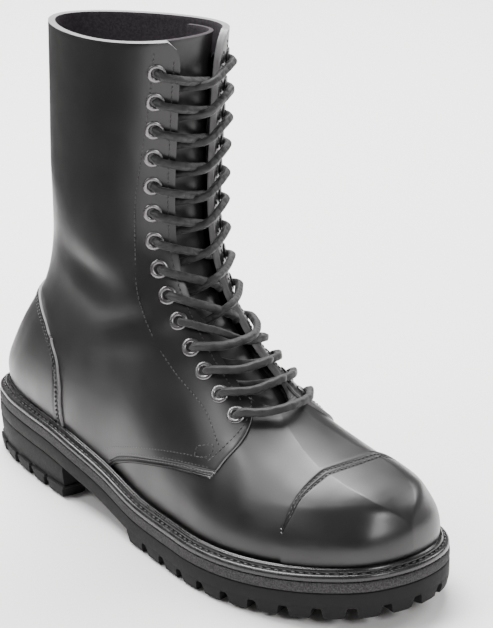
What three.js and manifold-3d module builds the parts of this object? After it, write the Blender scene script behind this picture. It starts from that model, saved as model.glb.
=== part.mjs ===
// A high lace-up combat boot for the right foot, empty, standing on its lugged sole.
// Millimetres. +X points to the toe, +Y to the wearer's left (the inner side), +Z up.
// The origin is on the floor under the middle of the boot's box.

import * as THREE from 'three';
import { mergeVertices } from 'three/addons/utils/BufferGeometryUtils.js';
import Module from 'manifold-3d';

const wasm = await Module();
wasm.setup();

// Driving sizes of the sole
const soleLength = 312;
const ballWidth = 107;
const heelWidth = 71;
const toeSpring = 8;
const heelRubber = 28;
const foreRubber = 13.5;
const baseRubber = 8;
const lugDepth = 6;
const lugPitch = 17;
const lugGap = 4.6;
const lugFlare = 1.7;
const lugReach = 15;
const heelBreast = 94;
const heelTaper = 3;
const treadStart = 158;
const midsoleThickness = 5;
const weltThickness = 3.5;
const weltWidth = 7.5;
const beadHeight = 2.2;
const beadWidth = 2.2;
const beadInset = 3.3;
const weltTrim = 0.5;
const weltReach = 4.2;
const insoleThickness = 3.4;

// Driving sizes of the upper
const collarHeight = 252;
const collarDrop = 8;
const instepHeight = 114;
const shaftWidth = 68;
const wall = 2.2;
const overlayThickness = 1.3;
const toeBulge = 1.8;
const tongueThickness = 3;
const tongueWidth = 70;
const tongueDrop = 2;
const throatGap = 24;
const throatFoot = 0.9;

// Driving sizes of the lacing
const eyeletCount = 14;
const eyeletPitch = 14.2;
const eyeletSpread = 44;
const eyeletTopMargin = 15;
const eyeletFlange = 9.2;
const eyeletBore = 4.6;
const eyeletWall = 0.5;
const eyeletRim = 0.8;
const eyeletLift = 1.05;
const laceDiameter = 4.4;
const lacingShift = 2;
const laceLift = 0.9;
const laceTuck = 1.5;
const laceShort = 1.0;

// Gap between pieces that touch
const clearance = 0.3;

const OUTER = 0;
const INNER = 1;

const colours = {
  leather: new THREE.MeshStandardMaterial({ color: 0x1c1b1d, roughness: 0.38, metalness: 0 }),
  tongue: new THREE.MeshStandardMaterial({ color: 0x242326, roughness: 0.45, metalness: 0 }),
  welt: new THREE.MeshStandardMaterial({ color: 0x232224, roughness: 0.35, metalness: 0 }),
  midsole: new THREE.MeshStandardMaterial({ color: 0x5b595c, roughness: 0.85, metalness: 0 }),
  rubber: new THREE.MeshStandardMaterial({ color: 0x1b1a1b, roughness: 0.8, metalness: 0 }),
  insole: new THREE.MeshStandardMaterial({ color: 0x4a4148, roughness: 0.9, metalness: 0 }),
  metal: new THREE.MeshStandardMaterial({ color: 0x3a393c, roughness: 0.35, metalness: 0.9 }),
  lace: new THREE.MeshStandardMaterial({ color: 0x141315, roughness: 0.7, metalness: 0 }),
};

const lerp = THREE.MathUtils.lerp;
const clamp = THREE.MathUtils.clamp;
const smooth = (low, high, value) => THREE.MathUtils.smoothstep(value, low, high);

// Reads a named column of a table at a place along it, on a smooth curve through the rows
function column(rows, key, name, at) {
  let i = 0;
  while (i < rows.length - 2 && rows[i + 1][key] < at) i += 1;
  const a = rows[i];
  const b = rows[i + 1];
  const before = rows[Math.max(i - 1, 0)];
  const after = rows[Math.min(i + 2, rows.length - 1)];
  const span = b[key] - a[key];
  const t = clamp((at - a[key]) / span, 0, 1);
  const slopeA = ((b[name] - before[name]) / Math.max(b[key] - before[key], 1e-6)) * span;
  const slopeB = ((after[name] - a[name]) / Math.max(after[key] - a[key], 1e-6)) * span;
  const t2 = t * t;
  const t3 = t2 * t;
  return (2 * t3 - 3 * t2 + 1) * a[name] + (t3 - 2 * t2 + t) * slopeA
    + (3 * t2 - 2 * t3) * b[name] + (t3 - t2) * slopeB;
}

// The sole's edge seen from above: along is a share of soleLength from the heel,
// outer and inner are shares of half the width there
const soleRows = [
  { along: 0.030, outer: 0.60, inner: 0.69, width: heelWidth },
  { along: 0.090, outer: 0.86, inner: 0.95, width: heelWidth },
  { along: 0.180, outer: 1.02, inner: 1.00, width: heelWidth },
  { along: 0.300, outer: 0.75, inner: 0.62, width: ballWidth },
  { along: 0.420, outer: 0.77, inner: 0.56, width: ballWidth },
  { along: 0.520, outer: 0.85, inner: 0.66, width: ballWidth },
  { along: 0.620, outer: 0.92, inner: 0.83, width: ballWidth },
  { along: 0.700, outer: 0.96, inner: 0.97, width: ballWidth },
  { along: 0.780, outer: 0.92, inner: 1.06, width: ballWidth },
  { along: 0.860, outer: 0.78, inner: 1.04, width: ballWidth },
  { along: 0.930, outer: 0.55, inner: 0.90, width: ballWidth },
  { along: 0.980, outer: 0.26, inner: 0.62, width: ballWidth },
];
const toeTipShift = 0.09;

function soleCurve() {
  const points = [new THREE.Vector3(0, 0, 0)];
  for (const row of soleRows) {
    points.push(new THREE.Vector3(row.along * soleLength, -row.outer * row.width / 2, 0));
  }
  points.push(new THREE.Vector3(soleLength, toeTipShift * ballWidth, 0));
  for (const row of [...soleRows].reverse()) {
    points.push(new THREE.Vector3(row.along * soleLength, row.inner * row.width / 2, 0));
  }
  return new THREE.CatmullRomCurve3(points, true, 'centripetal');
}

// Points on the sole's edge moved inwards by an inset, running heel, outer side, toe, inner side
const edgeSamples = 480;
const edgePoints = soleCurve().getSpacedPoints(edgeSamples).slice(0, edgeSamples);

function insetEdge(inset) {
  return edgePoints.map((point, i) => {
    const before = edgePoints[(i - 1 + edgeSamples) % edgeSamples];
    const after = edgePoints[(i + 1) % edgeSamples];
    const along = new THREE.Vector2(after.x - before.x, after.y - before.y).normalize();
    return new THREE.Vector2(point.x - along.y * inset, point.y + along.x * inset);
  });
}

// Half widths of the inset sole at any place along it: { from, to, at(x, side) }
function insetWidths(inset) {
  const edge = insetEdge(inset);
  const from = Math.min(...edge.map((point) => point.x));
  const to = Math.max(...edge.map((point) => point.x));
  const cells = 600;
  const table = [new Float64Array(cells + 1).fill(0), new Float64Array(cells + 1).fill(0)];
  const heelEnd = edge.find((point) => point.x === from);
  const toeEnd = edge.find((point) => point.x === to);
  const middle = (x) => lerp(heelEnd.y, toeEnd.y, (x - from) / (to - from));
  for (let i = 0; i < edge.length; i += 1) {
    const a = edge[i];
    const b = edge[(i + 1) % edge.length];
    const side = (a.y + b.y) / 2 < middle((a.x + b.x) / 2) ? OUTER : INNER;
    const low = Math.min(a.x, b.x);
    const high = Math.max(a.x, b.x);
    const first = Math.ceil(((low - from) / (to - from)) * cells);
    const last = Math.floor(((high - from) / (to - from)) * cells);
    for (let cell = first; cell <= last; cell += 1) {
      const x = from + (cell / cells) * (to - from);
      const t = high > low ? (x - a.x) / (b.x - a.x) : 0;
      table[side][cell] = lerp(a.y, b.y, clamp(t, 0, 1));
    }
  }
  for (const side of [OUTER, INNER]) {
    table[side][0] = heelEnd.y;
    table[side][cells] = toeEnd.y;
  }
  const at = (x, side) => {
    const place = clamp((x - from) / (to - from), 0, 1) * cells;
    const cell = Math.min(Math.floor(place), cells - 1);
    return lerp(table[side][cell], table[side][cell + 1], place - cell);
  };
  return { from, to, at };
}

// Heights of the sole's layers along the boot
const springStart = 0.66;
const heelEndShare = 0.22;
const ballShare = 0.56;

function springAt(x) {
  const share = clamp((x / soleLength - springStart) / (1 - springStart), 0, 1);
  return toeSpring * share * share;
}

function rubberTop(x) {
  const share = x / soleLength;
  const slope = 1 - smooth(heelEndShare, ballShare, share);
  return foreRubber + (heelRubber - foreRubber) * slope + springAt(x);
}

const midsoleTop = (x) => rubberTop(x) + clearance + midsoleThickness;
const weltTop = (x) => midsoleTop(x) + clearance + weltThickness;
const featherZ = (x) => weltTop(x) + clearance;

// Cosine steps from one end to the other, closer together at both ends
function cosineSteps(from, to, count) {
  const steps = [];
  for (let i = 0; i <= count; i += 1) {
    steps.push(lerp(from, to, (1 - Math.cos((Math.PI * i) / count)) / 2));
  }
  return steps;
}

// Steps that all layers of the sole share, so that they lie evenly on each other.
// Only the two ends shrink with a layer's inset
const stationCount = 26;
const stationEvenness = 0.55;
const endZone = 0.2 * soleLength;

function sharedSteps(from, to, count) {
  return cosineSteps(0, 1, count).map((share, i) => {
    const x = lerp(share, i / count, stationEvenness) * soleLength;
    if (x < endZone) return lerp(from, endZone, x / endZone);
    if (x > soleLength - endZone) return lerp(to, soleLength - endZone, (soleLength - x) / endZone);
    return x;
  });
}

// Mesh building
function geometryOf(points, faces) {
  const geometry = new THREE.BufferGeometry();
  const numbers = points.flatMap((point) => [point.x, point.y, point.z]);
  geometry.setAttribute('position', new THREE.Float32BufferAttribute(numbers, 3));
  geometry.setIndex(faces.flat());
  return geometry;
}

function solidOf(geometry) {
  const bare = geometry.clone();
  bare.deleteAttribute('normal');
  bare.deleteAttribute('uv');
  const merged = mergeVertices(bare, 1e-4);
  return new wasm.Manifold(new wasm.Mesh({
    numProp: 3,
    vertProperties: new Float32Array(merged.attributes.position.array),
    triVerts: new Uint32Array(merged.index.array),
  }));
}

function geometryFrom(solid) {
  const mesh = solid.getMesh();
  const geometry = new THREE.BufferGeometry();
  const places = new Float32Array(mesh.vertProperties);
  geometry.setAttribute('position', new THREE.BufferAttribute(places, 3));
  geometry.setIndex(new THREE.BufferAttribute(new Uint32Array(mesh.triVerts), 1));
  return geometry;
}

// Pairs across a ring: point k on the outer side with its twin on the inner side.
// A tipped ring has one point at the heel and one at the toe, a cut ring has two at each end.
function ladder(count, tipped) {
  const rungs = [];
  const last = Math.floor((count - (tipped ? 0 : 1)) / 2);
  const twin = (k) => (tipped ? (count - k) % count : count - 1 - k);
  for (let k = 0; k < last; k += 1) {
    const [a, b, c, d] = [k, k + 1, twin(k + 1), twin(k)];
    if (a !== d) rungs.push([a, c, d]);
    if (b !== c) rungs.push([a, b, c]);
  }
  return rungs;
}

// A closed solid from rings stacked upwards, all running the same way round
function loft(rings, tipped) {
  const count = rings[0].length;
  const top = (rings.length - 1) * count;
  const faces = [];
  for (let i = 0; i < rings.length - 1; i += 1) {
    for (let j = 0; j < count; j += 1) {
      const a = i * count + j;
      const b = i * count + ((j + 1) % count);
      faces.push([a, b, b + count], [a, b + count, a + count]);
    }
  }
  for (const [a, b, c] of ladder(count, tipped)) {
    faces.push([a, c, b], [top + a, top + b, top + c]);
  }
  return geometryOf(rings.flat(), faces);
}

// A ring round a layer of the sole, running heel, outer side, toe, inner side
function layerRing(inset, from, to, count, heightAt) {
  const widths = insetWidths(inset);
  const whole = from <= widths.from && to >= widths.to;
  const steps = whole
    ? sharedSteps(widths.from, widths.to, count)
    : cosineSteps(Math.max(from, widths.from), Math.min(to, widths.to), count);
  const outer = steps.map((x) => new THREE.Vector3(x, widths.at(x, OUTER), heightAt(x)));
  const inner = steps.map((x) => new THREE.Vector3(x, widths.at(x, INNER), heightAt(x))).reverse();
  if (to >= widths.to) inner.shift();
  if (from <= widths.from) inner.pop();
  return [...outer, ...inner];
}

function makeMesh(name, geometry, material) {
  const shown = geometry.index ? geometry.toNonIndexed() : geometry;
  shown.computeVertexNormals();
  const mesh = new THREE.Mesh(shown, material);
  mesh.name = name;
  return mesh;
}

// The boot's front line seen from the side, toe to collar. along is a share of soleLength;
// up is a share of the way from the feather line to instepHeight, rise from there to collarHeight
const frontFoot = [
  { along: 0.976, up: 0.000 },
  { along: 0.976, up: 0.095 },
  { along: 0.971, up: 0.202 },
  { along: 0.955, up: 0.292 },
  { along: 0.926, up: 0.357 },
  { along: 0.885, up: 0.405 },
  { along: 0.840, up: 0.446 },
  { along: 0.795, up: 0.494 },
  { along: 0.744, up: 0.565 },
  { along: 0.696, up: 0.655 },
  { along: 0.651, up: 0.762 },
  { along: 0.609, up: 0.875 },
  { along: 0.571, up: 1.000 },
];
const frontShaft = [
  { along: 0.533, rise: 0.094 },
  { along: 0.510, rise: 0.203 },
  { along: 0.501, rise: 0.333 },
  { along: 0.502, rise: 0.493 },
  { along: 0.508, rise: 0.659 },
  { along: 0.515, rise: 0.826 },
  { along: 0.526, rise: 1.000 },
];
// The back line, heel to collar. up is a share of the way to the collar's back
const backLine = [
  { along: 0.040, up: 0.000 },
  { along: 0.038, up: 0.061 },
  { along: 0.054, up: 0.119 },
  { along: 0.082, up: 0.197 },
  { along: 0.118, up: 0.279 },
  { along: 0.143, up: 0.361 },
  { along: 0.155, up: 0.448 },
  { along: 0.159, up: 0.545 },
  { along: 0.160, up: 0.690 },
  { along: 0.162, up: 1.000 },
];

const frontPoints = [
  ...frontFoot.map((row) => new THREE.Vector3(
    row.along * soleLength,
    0,
    lerp(featherZ(frontFoot[0].along * soleLength), instepHeight, row.up),
  )),
  ...frontShaft.map((row) => new THREE.Vector3(
    row.along * soleLength,
    0,
    lerp(instepHeight, collarHeight, row.rise),
  )),
];
const backPoints = backLine.map((row) => new THREE.Vector3(
  row.along * soleLength,
  0,
  lerp(featherZ(backLine[0].along * soleLength), collarHeight - collarDrop, row.up),
));
const frontCurve = new THREE.CatmullRomCurve3(frontPoints, false, 'centripetal');
const backCurve = new THREE.CatmullRomCurve3(backPoints, false, 'centripetal');

// Rings of the upper from the feather line to the collar. front and back are shares of the
// two lines' lengths, shaft is how far the ring has turned from foot into shaft,
// width is a share of shaftWidth, taper widens the shaft to the front, round squares it
const ringRows = [
  { level: 0.00, front: 0.000, back: 0.000, shaft: 0.00, width: 1.00, taper: 0.05, round: 2.2 },
  { level: 0.07, front: 0.045, back: 0.030, shaft: 0.00, width: 1.00, taper: 0.05, round: 2.2 },
  { level: 0.14, front: 0.095, back: 0.065, shaft: 0.00, width: 1.00, taper: 0.05, round: 2.2 },
  { level: 0.22, front: 0.155, back: 0.100, shaft: 0.00, width: 1.00, taper: 0.05, round: 2.2 },
  { level: 0.30, front: 0.235, back: 0.150, shaft: 0.03, width: 0.89, taper: 0.08, round: 2.2 },
  { level: 0.38, front: 0.315, back: 0.215, shaft: 0.12, width: 0.86, taper: 0.10, round: 2.1 },
  { level: 0.46, front: 0.395, back: 0.300, shaft: 0.30, width: 0.85, taper: 0.13, round: 2.1 },
  { level: 0.54, front: 0.475, back: 0.395, shaft: 0.58, width: 0.86, taper: 0.15, round: 2.1 },
  { level: 0.62, front: 0.550, back: 0.490, shaft: 0.85, width: 0.88, taper: 0.18, round: 2.1 },
  { level: 0.70, front: 0.630, back: 0.585, shaft: 1.00, width: 0.92, taper: 0.20, round: 2.1 },
  { level: 0.80, front: 0.750, back: 0.725, shaft: 1.00, width: 0.94, taper: 0.24, round: 2.1 },
  { level: 0.90, front: 0.875, back: 0.860, shaft: 1.00, width: 0.95, taper: 0.27, round: 2.1 },
  { level: 1.00, front: 1.000, back: 1.000, shaft: 1.00, width: 0.96, taper: 0.28, round: 2.1 },
];
// Squareness of the foot's cross-sections along the sole, and how far the ridge of the
// foot leans to the inner side, as a share of ballWidth
const footRows = [
  { along: 0.00, round: 2.3, lean: 0.000 },
  { along: 0.45, round: 2.1, lean: 0.030 },
  { along: 0.65, round: 2.0, lean: 0.050 },
  { along: 0.80, round: 2.0, lean: 0.020 },
  { along: 0.92, round: 2.4, lean: 0.005 },
  { along: 1.00, round: 2.6, lean: 0.000 },
];
const instepSlope = 1.15;
const rearShare = 0.45;
const bulgeHeight = 14;

const feather = insetWidths(weltWidth);

// Height of the foot's ridge at a place along it
const ridgeCount = 400;
const ridgeSamples = frontCurve.getSpacedPoints(ridgeCount);
const instepX = frontFoot[frontFoot.length - 1].along * soleLength;

function ridgeAt(x) {
  if (x <= instepX) return instepHeight + (instepX - x) * instepSlope;
  for (let i = ridgeSamples.length - 1; i > 0; i -= 1) {
    const a = ridgeSamples[i - 1];
    const b = ridgeSamples[i];
    if (a.x >= x && b.x <= x && a.x > b.x) return lerp(a.z, b.z, (a.x - x) / (a.x - b.x));
  }
  return ridgeSamples[0].z;
}

// One ring of the outer surface, as points running back, outer side, front, inner side
function upperRing(level, count) {
  const row = (name) => column(ringRows, 'level', name, level);
  const front = frontCurve.getPointAt(clamp(row('front'), 0, 1));
  const back = backCurve.getPointAt(clamp(row('back'), 0, 1));
  const shaft = clamp(row('shaft'), 0, 1);
  const flat = 1 - smooth(0.05, 0.5, level);
  const baseBack = featherZ(feather.from);
  const baseFront = featherZ(feather.to);
  const heightAt = (x) => {
    const t = (x - back.x) / (front.x - back.x);
    return lerp(back.z, front.z, t) + flat * (featherZ(x) - lerp(baseBack, baseFront, t));
  };
  const liftAt = (x, z) => clamp((z - featherZ(x)) / (ridgeAt(x) - featherZ(x)), 0, 10);
  const frontLift = Math.max(liftAt(front.x, front.z), 1);
  const place = (x, side) => {
    const z = heightAt(x);
    const t = clamp((2 * (x - back.x)) / (front.x - back.x) - 1, -1, 1);
    const rear = 1 - smooth(0, rearShare * soleLength, x - back.x);
    const footX = x - (back.x - feather.from) * rear;
    const lift = level === 0 ? 0 : clamp(liftAt(x, z) / frontLift, 0, 1);
    const share = x / soleLength;
    const power = column(footRows, 'along', 'round', share);
    const lean = column(footRows, 'along', 'lean', share) * ballWidth;
    const middle = (feather.at(footX, OUTER) + feather.at(footX, INNER)) / 2;
    const body = (1 - lift ** power) ** (1 / power);
    const foot = middle + (feather.at(footX, side) - middle) * body + lean * lift * lift;
    const round = row('round');
    const half = (row('width') * shaftWidth) / 2;
    const bow = half * (1 - Math.abs(t) ** round) ** (1 / round) * (1 + row('taper') * t);
    const tube = side === OUTER ? -bow : bow;
    return new THREE.Vector3(x, lerp(foot, tube, shaft), z);
  };
  const steps = cosineSteps(back.x, front.x, count);
  const outer = steps.map((x) => place(x, OUTER));
  const inner = steps.slice(1, -1).reverse().map((x) => place(x, INNER));
  const ring = [...outer, ...inner];
  return bulged(ring);
}

// Pushes the wall out just above the feather line, as the last does
function bulged(ring) {
  return ring.map((point, i) => {
    const before = ring[(i - 1 + ring.length) % ring.length];
    const after = ring[(i + 1) % ring.length];
    const along = new THREE.Vector2(after.x - before.x, after.y - before.y).normalize();
    const above = Math.max(point.z - featherZ(point.x), 0) / bulgeHeight;
    const push = toeBulge * Math.E * above * Math.exp(-above);
    return new THREE.Vector3(point.x + along.y * push, point.y - along.x * push, point.z);
  });
}

// The surface's grid, moved along its normals. The offset fades out towards the feather line
// where fade is given, as an overlay's skived edge does
function upperGrid(levels, count, offset, fade) {
  const rings = levels.map((level) => upperRing(level, count));
  return rings.map((ring, i) => ring.map((point, j) => {
    const lower = rings[Math.max(i - 1, 0)][j];
    const upper = rings[Math.min(i + 1, rings.length - 1)][j];
    const before = ring[(j - 1 + ring.length) % ring.length];
    const after = ring[(j + 1) % ring.length];
    const normal = after.clone().sub(before).cross(upper.clone().sub(lower));
    if (i === 0 || i === rings.length - 1) normal.z = 0;
    const share = fade ? smooth(0, skiveLevel, levels[i]) : 1;
    return point.clone().addScaledVector(normal.normalize(), offset * share);
  }));
}

const skiveLevel = 0.07;
const outerSteps = 14;
const liningSteps = 14;
const overrun = 12;
const seatDepth = 1.5;

// Levels of the rings: close together round the foot, apart on the straight shaft
const levelBands = [
  { from: 0.00, to: 0.30, outer: 6, lining: 4 },
  { from: 0.30, to: 0.76, outer: 11, lining: 11 },
  { from: 0.76, to: 1.00, outer: 2, lining: 2 },
];
const levelsOf = (name) => [0, ...levelBands.flatMap((band) => Array.from(
  { length: band[name] },
  (_, i) => lerp(band.from, band.to, (i + 1) / band[name]),
))];
const moved = (ring, dz) => ring.map((point) => new THREE.Vector3(point.x, point.y, point.z + dz));

// The boot's form at an offset from its outer surface, run on a little into the welt
function outerForm(offset) {
  const rings = upperGrid(levelsOf('outer'), outerSteps, offset, true);
  rings[0] = moved(rings[0], -seatDepth);
  return solidOf(loft(rings, true));
}

// The same form for what is hollow, run on past the feather line and the collar
function liningForm(offset) {
  const rings = upperGrid(levelsOf('lining'), liningSteps, offset, false);
  const first = moved(rings[0], -overrun);
  const last = moved(rings[rings.length - 1], overrun);
  return solidOf(loft([first, ...rings, last], true));
}

// A prism across the boot from an outline in the side view
function sidePrism(outline) {
  const shape = new THREE.Shape(outline.map(([x, z]) => new THREE.Vector2(x, z)));
  const geometry = new THREE.ExtrudeGeometry(shape, { depth: 2 * ballWidth, bevelEnabled: false });
  geometry.rotateX(Math.PI / 2);
  geometry.translate(0, ballWidth, 0);
  return solidOf(geometry);
}

// A ribbon along the front line, from one share of its length past the collar, for cuts
// and for the tongue: halfAt(t) is its half width, deep and proud its reach across the wall
const ribbonSteps = 16;

function frontRibbon(from, halfAt, deep, proud) {
  const rings = [];
  for (let i = 0; i <= ribbonSteps; i += 1) {
    const t = i / ribbonSteps;
    const share = lerp(from, 1, t);
    const point = frontCurve.getPointAt(share);
    const tangent = frontCurve.getTangentAt(share);
    const normal = new THREE.Vector3(tangent.z, 0, -tangent.x);
    const corner = (y, reach) => point.clone().addScaledVector(normal, reach)
      .setY(lacingShift + y);
    const half = halfAt(t);
    rings.push([
      corner(-half, -deep),
      corner(-half, proud),
      corner(half, proud),
      corner(half, -deep),
    ]);
  }
  rings.push(moved(rings[rings.length - 1], overrun));
  return solidOf(loft(rings, false));
}

// Places on the front line: where the quarters meet on the vamp, where the vamp's throat
// ends under them, and where the tongue is sewn in
const shareAt = (along) => {
  const past = ridgeSamples.findIndex((point) => point.x <= along * soleLength);
  return past / ridgeCount;
};
const quarterShare = shareAt(0.724);
const vampShare = shareAt(0.716);
const tongueShare = shareAt(0.790);
const throatHalfAt = (t) => (throatGap / 2) * lerp(throatFoot, 1, Math.min(4 * t, 1));

// Outlines in the side view, each point a share of soleLength and of collarHeight
const scaled = (rows) => rows.map((row) => [row.along * soleLength, row.up * collarHeight]);
const quarterOutline = scaled([
  { along: 0.372, up: 0.060 },
  { along: 0.405, up: 0.112 },
  { along: 0.440, up: 0.138 },
  { along: 0.490, up: 0.162 },
  { along: 0.551, up: 0.184 },
  { along: 0.612, up: 0.201 },
  { along: 0.668, up: 0.211 },
  { along: 0.692, up: 0.214 },
  { along: 0.708, up: 0.254 },
  { along: 0.720, up: 0.294 },
  { along: 0.723, up: 0.312 },
  { along: 0.716, up: 0.330 },
  { along: 0.700, up: 0.360 },
  { along: 0.700, up: 1.200 },
  { along: -0.100, up: 1.200 },
  { along: -0.100, up: 0.060 },
]);
const toeCapOutline = scaled([
  { along: 0.857, up: 0.060 },
  { along: 1.100, up: 0.060 },
  { along: 1.100, up: 0.400 },
  { along: 0.828, up: 0.400 },
]);
const counterOutline = scaled([
  { along: -0.100, up: 0.060 },
  { along: 0.284, up: 0.060 },
  { along: 0.283, up: 0.203 },
  { along: 0.278, up: 0.248 },
  { along: 0.264, up: 0.288 },
  { along: 0.241, up: 0.318 },
  { along: 0.205, up: 0.349 },
  { along: 0.153, up: 0.381 },
  { along: 0.106, up: 0.401 },
  { along: -0.100, up: 0.418 },
]);
const stayShare = 0.22;
const stayRows = [
  { half: 0.27, up: 0.370 },
  { half: 0.22, up: 0.620 },
  { half: 0.18, up: 1.200 },
];

// The strip that covers the back seam, from the counter up to the collar
function backStay() {
  const side = stayRows.map((row) => new THREE.Vector2(row.half * shaftWidth, row.up * collarHeight));
  const mirrored = side.map((point) => new THREE.Vector2(-point.x, point.y)).reverse();
  const geometry = new THREE.ExtrudeGeometry(new THREE.Shape([...side, ...mirrored]), {
    depth: 2 * stayShare * soleLength,
    bevelEnabled: false,
  });
  geometry.rotateX(Math.PI / 2);
  geometry.rotateZ(Math.PI / 2);
  geometry.translate(-stayShare * soleLength, 0, 0);
  return solidOf(geometry);
}

// The front of the upper: a share of the front line gives a plane square to that line,
// and y a distance across. The table of fine rings is searched for the surface there
const fineSteps = 60;
const fineLevels = Array.from({ length: 121 }, (_, i) => lerp(0.15, 1, i / 120));
const fineRings = fineLevels.map((level) => upperRing(level, fineSteps));

function onRing(ring, y) {
  const step = y < ring[fineSteps].y ? -1 : 1;
  for (let i = fineSteps; Math.abs(i - fineSteps) < fineSteps - 2; i += step) {
    const a = ring[i];
    const b = ring[i + step];
    if ((a.y - y) * (b.y - y) <= 0 && a.y !== b.y) return a.clone().lerp(b, (y - a.y) / (b.y - a.y));
  }
  return ring[fineSteps].clone();
}

function onFront(share, y) {
  const origin = frontCurve.getPointAt(share);
  const tangent = frontCurve.getTangentAt(share);
  let before = null;
  let ahead = 0;
  for (const ring of fineRings) {
    const point = onRing(ring, y);
    const past = point.clone().sub(origin).setY(0).dot(tangent);
    if (before && past >= 0) return before.lerp(point, ahead / (ahead - past));
    before = point;
    ahead = past;
  }
  return before;
}

const nudge = 0.006;
const nudgeAcross = 1.5;

function frontPlace(share, y, offset) {
  const across = onFront(share, y + nudgeAcross).sub(onFront(share, y - nudgeAcross));
  const upwards = onFront(share + nudge, y).sub(onFront(share - nudge, y));
  const normal = across.cross(upwards).normalize();
  return { point: onFront(share, y).addScaledVector(normal, offset), normal };
}

// Places of the eyelet rows on the front line, walked down from the collar
function eyeletRows() {
  const shares = [];
  const stride = 0.002;
  const y = lacingShift - eyeletSpread / 2;
  let travelled = 0;
  let next = eyeletTopMargin;
  let here = onFront(1, y);
  let share = 1;
  while (shares.length < eyeletCount && share > tongueShare) {
    share -= stride;
    const there = onFront(share, y);
    travelled += there.distanceTo(here);
    here = there;
    if (travelled >= next) {
      shares.push(share);
      next += eyeletPitch;
    }
  }
  return shares;
}

const rowShares = eyeletRows();
const shareOfRow = (row) => {
  const i = clamp(Math.floor(row), 0, eyeletCount - 2);
  return lerp(rowShares[i], rowShares[i + 1], row - i);
};
const spreadOfRow = (row) => (eyeletSpread / 2) * lerp(1, 0.95, row / (eyeletCount - 1));
const eyeletY = (row, side, short = 0) => (
  lacingShift + (side === OUTER ? -1 : 1) * (spreadOfRow(row) - short)
);

// Turns a piece made round +Z so that it stands on the surface at a place
function stand(geometry, place) {
  const turn = new THREE.Quaternion().setFromUnitVectors(new THREE.Vector3(0, 0, 1), place.normal);
  geometry.applyQuaternion(turn);
  geometry.translate(place.point.x, place.point.y, place.point.z);
  return geometry;
}

const barrelRadius = eyeletBore / 2 + eyeletWall;
const holeRadius = barrelRadius + clearance;
const holeSides = 6;
const barrelDepth = wall - 2 * clearance;
const seat = overlayThickness + eyeletLift;

function eyeletHole(row, side) {
  const depth = 4 * wall;
  const geometry = new THREE.CylinderGeometry(
    holeRadius / Math.cos(Math.PI / holeSides),
    holeRadius / Math.cos(Math.PI / holeSides),
    2 * depth,
    holeSides,
  );
  geometry.rotateX(Math.PI / 2);
  return solidOf(stand(geometry, frontPlace(shareOfRow(row), eyeletY(row, side), 0)));
}

// A metal eyelet: a dished flange on the leather and a barrel through it
function eyeletGeometry(row, side) {
  const outer = eyeletFlange / 2;
  const bore = eyeletBore / 2;
  const profile = [
    new THREE.Vector2(bore, -barrelDepth),
    new THREE.Vector2(barrelRadius, -barrelDepth),
    new THREE.Vector2(barrelRadius, seat),
    new THREE.Vector2(outer, seat),
    new THREE.Vector2(bore + eyeletWall / 2, seat + eyeletRim),
    new THREE.Vector2(bore, -barrelDepth),
  ];
  const geometry = new THREE.LatheGeometry(profile, holeSides);
  geometry.rotateX(Math.PI / 2);
  return stand(geometry, frontPlace(shareOfRow(row), eyeletY(row, side), 0));
}

// One stretch of lace between two eyelets. An end is out where the lace lies over the
// facing to its eyelet, and in where it dives under the facing's edge
const laceSides = 5;
const laceSteps = 5;
const dive = 0.2;
const edgeY = (side, margin) => lacingShift + (side === OUTER ? -1 : 1) * (throatGap / 2 - margin);

function strand(start, end) {
  const radius = laceDiameter / 2;
  const over = seat + eyeletRim + laceLift + radius;
  const under = radius - wall + clearance;
  const ends = (stop) => {
    if (!stop.out) {
      const row = stop.row + (stop === start ? dive : -dive);
      return [{ row, y: edgeY(stop.side, radius + laceTuck), offset: under + 2 * clearance }];
    }
    return [
      { row: stop.row, y: eyeletY(stop.row, stop.side, laceShort), offset: over },
      { row: stop.row, y: edgeY(stop.side, -1), offset: over },
    ];
  };
  const first = ends(start);
  const last = ends(end).reverse();
  const outEnds = Number(start.out) + Number(end.out);
  const middle = {
    row: (start.row + end.row) / 2,
    y: lacingShift,
    offset: lerp(under, over, outEnds / 2),
  };
  const points = [...first, middle, ...last].map(({ row, y, offset }) => (
    frontPlace(shareOfRow(row), y, offset).point
  ));
  const path = new THREE.CatmullRomCurve3(points, false, 'centripetal');
  const section = new THREE.Shape(Array.from({ length: laceSides }, (_, i) => {
    const angle = (2 * Math.PI * i) / laceSides;
    return new THREE.Vector2(radius * Math.cos(angle), radius * Math.sin(angle));
  }));
  return solidOf(new THREE.ExtrudeGeometry(section, {
    steps: laceSteps,
    extrudePath: path,
    bevelEnabled: false,
  }));
}

// The lace's stretches, by row from the top: which eyelets each joins, and from which side
const strandRows = [];
const lastRow = eyeletCount - 1;
for (let row = 0; row < lastRow; row += 1) {
  const crossing = row === lastRow - 4;
  const low = row > lastRow - 4;
  const startOut = !low;
  const endOut = crossing || (low && row < lastRow - 1);
  for (const side of [OUTER, INNER]) {
    strandRows.push([
      { row, side, out: startOut },
      { row: row + 1, side: 1 - side, out: endOut },
    ]);
  }
}
strandRows.push([
  { row: lastRow, side: OUTER, out: true },
  { row: lastRow, side: INNER, out: true },
]);

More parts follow.
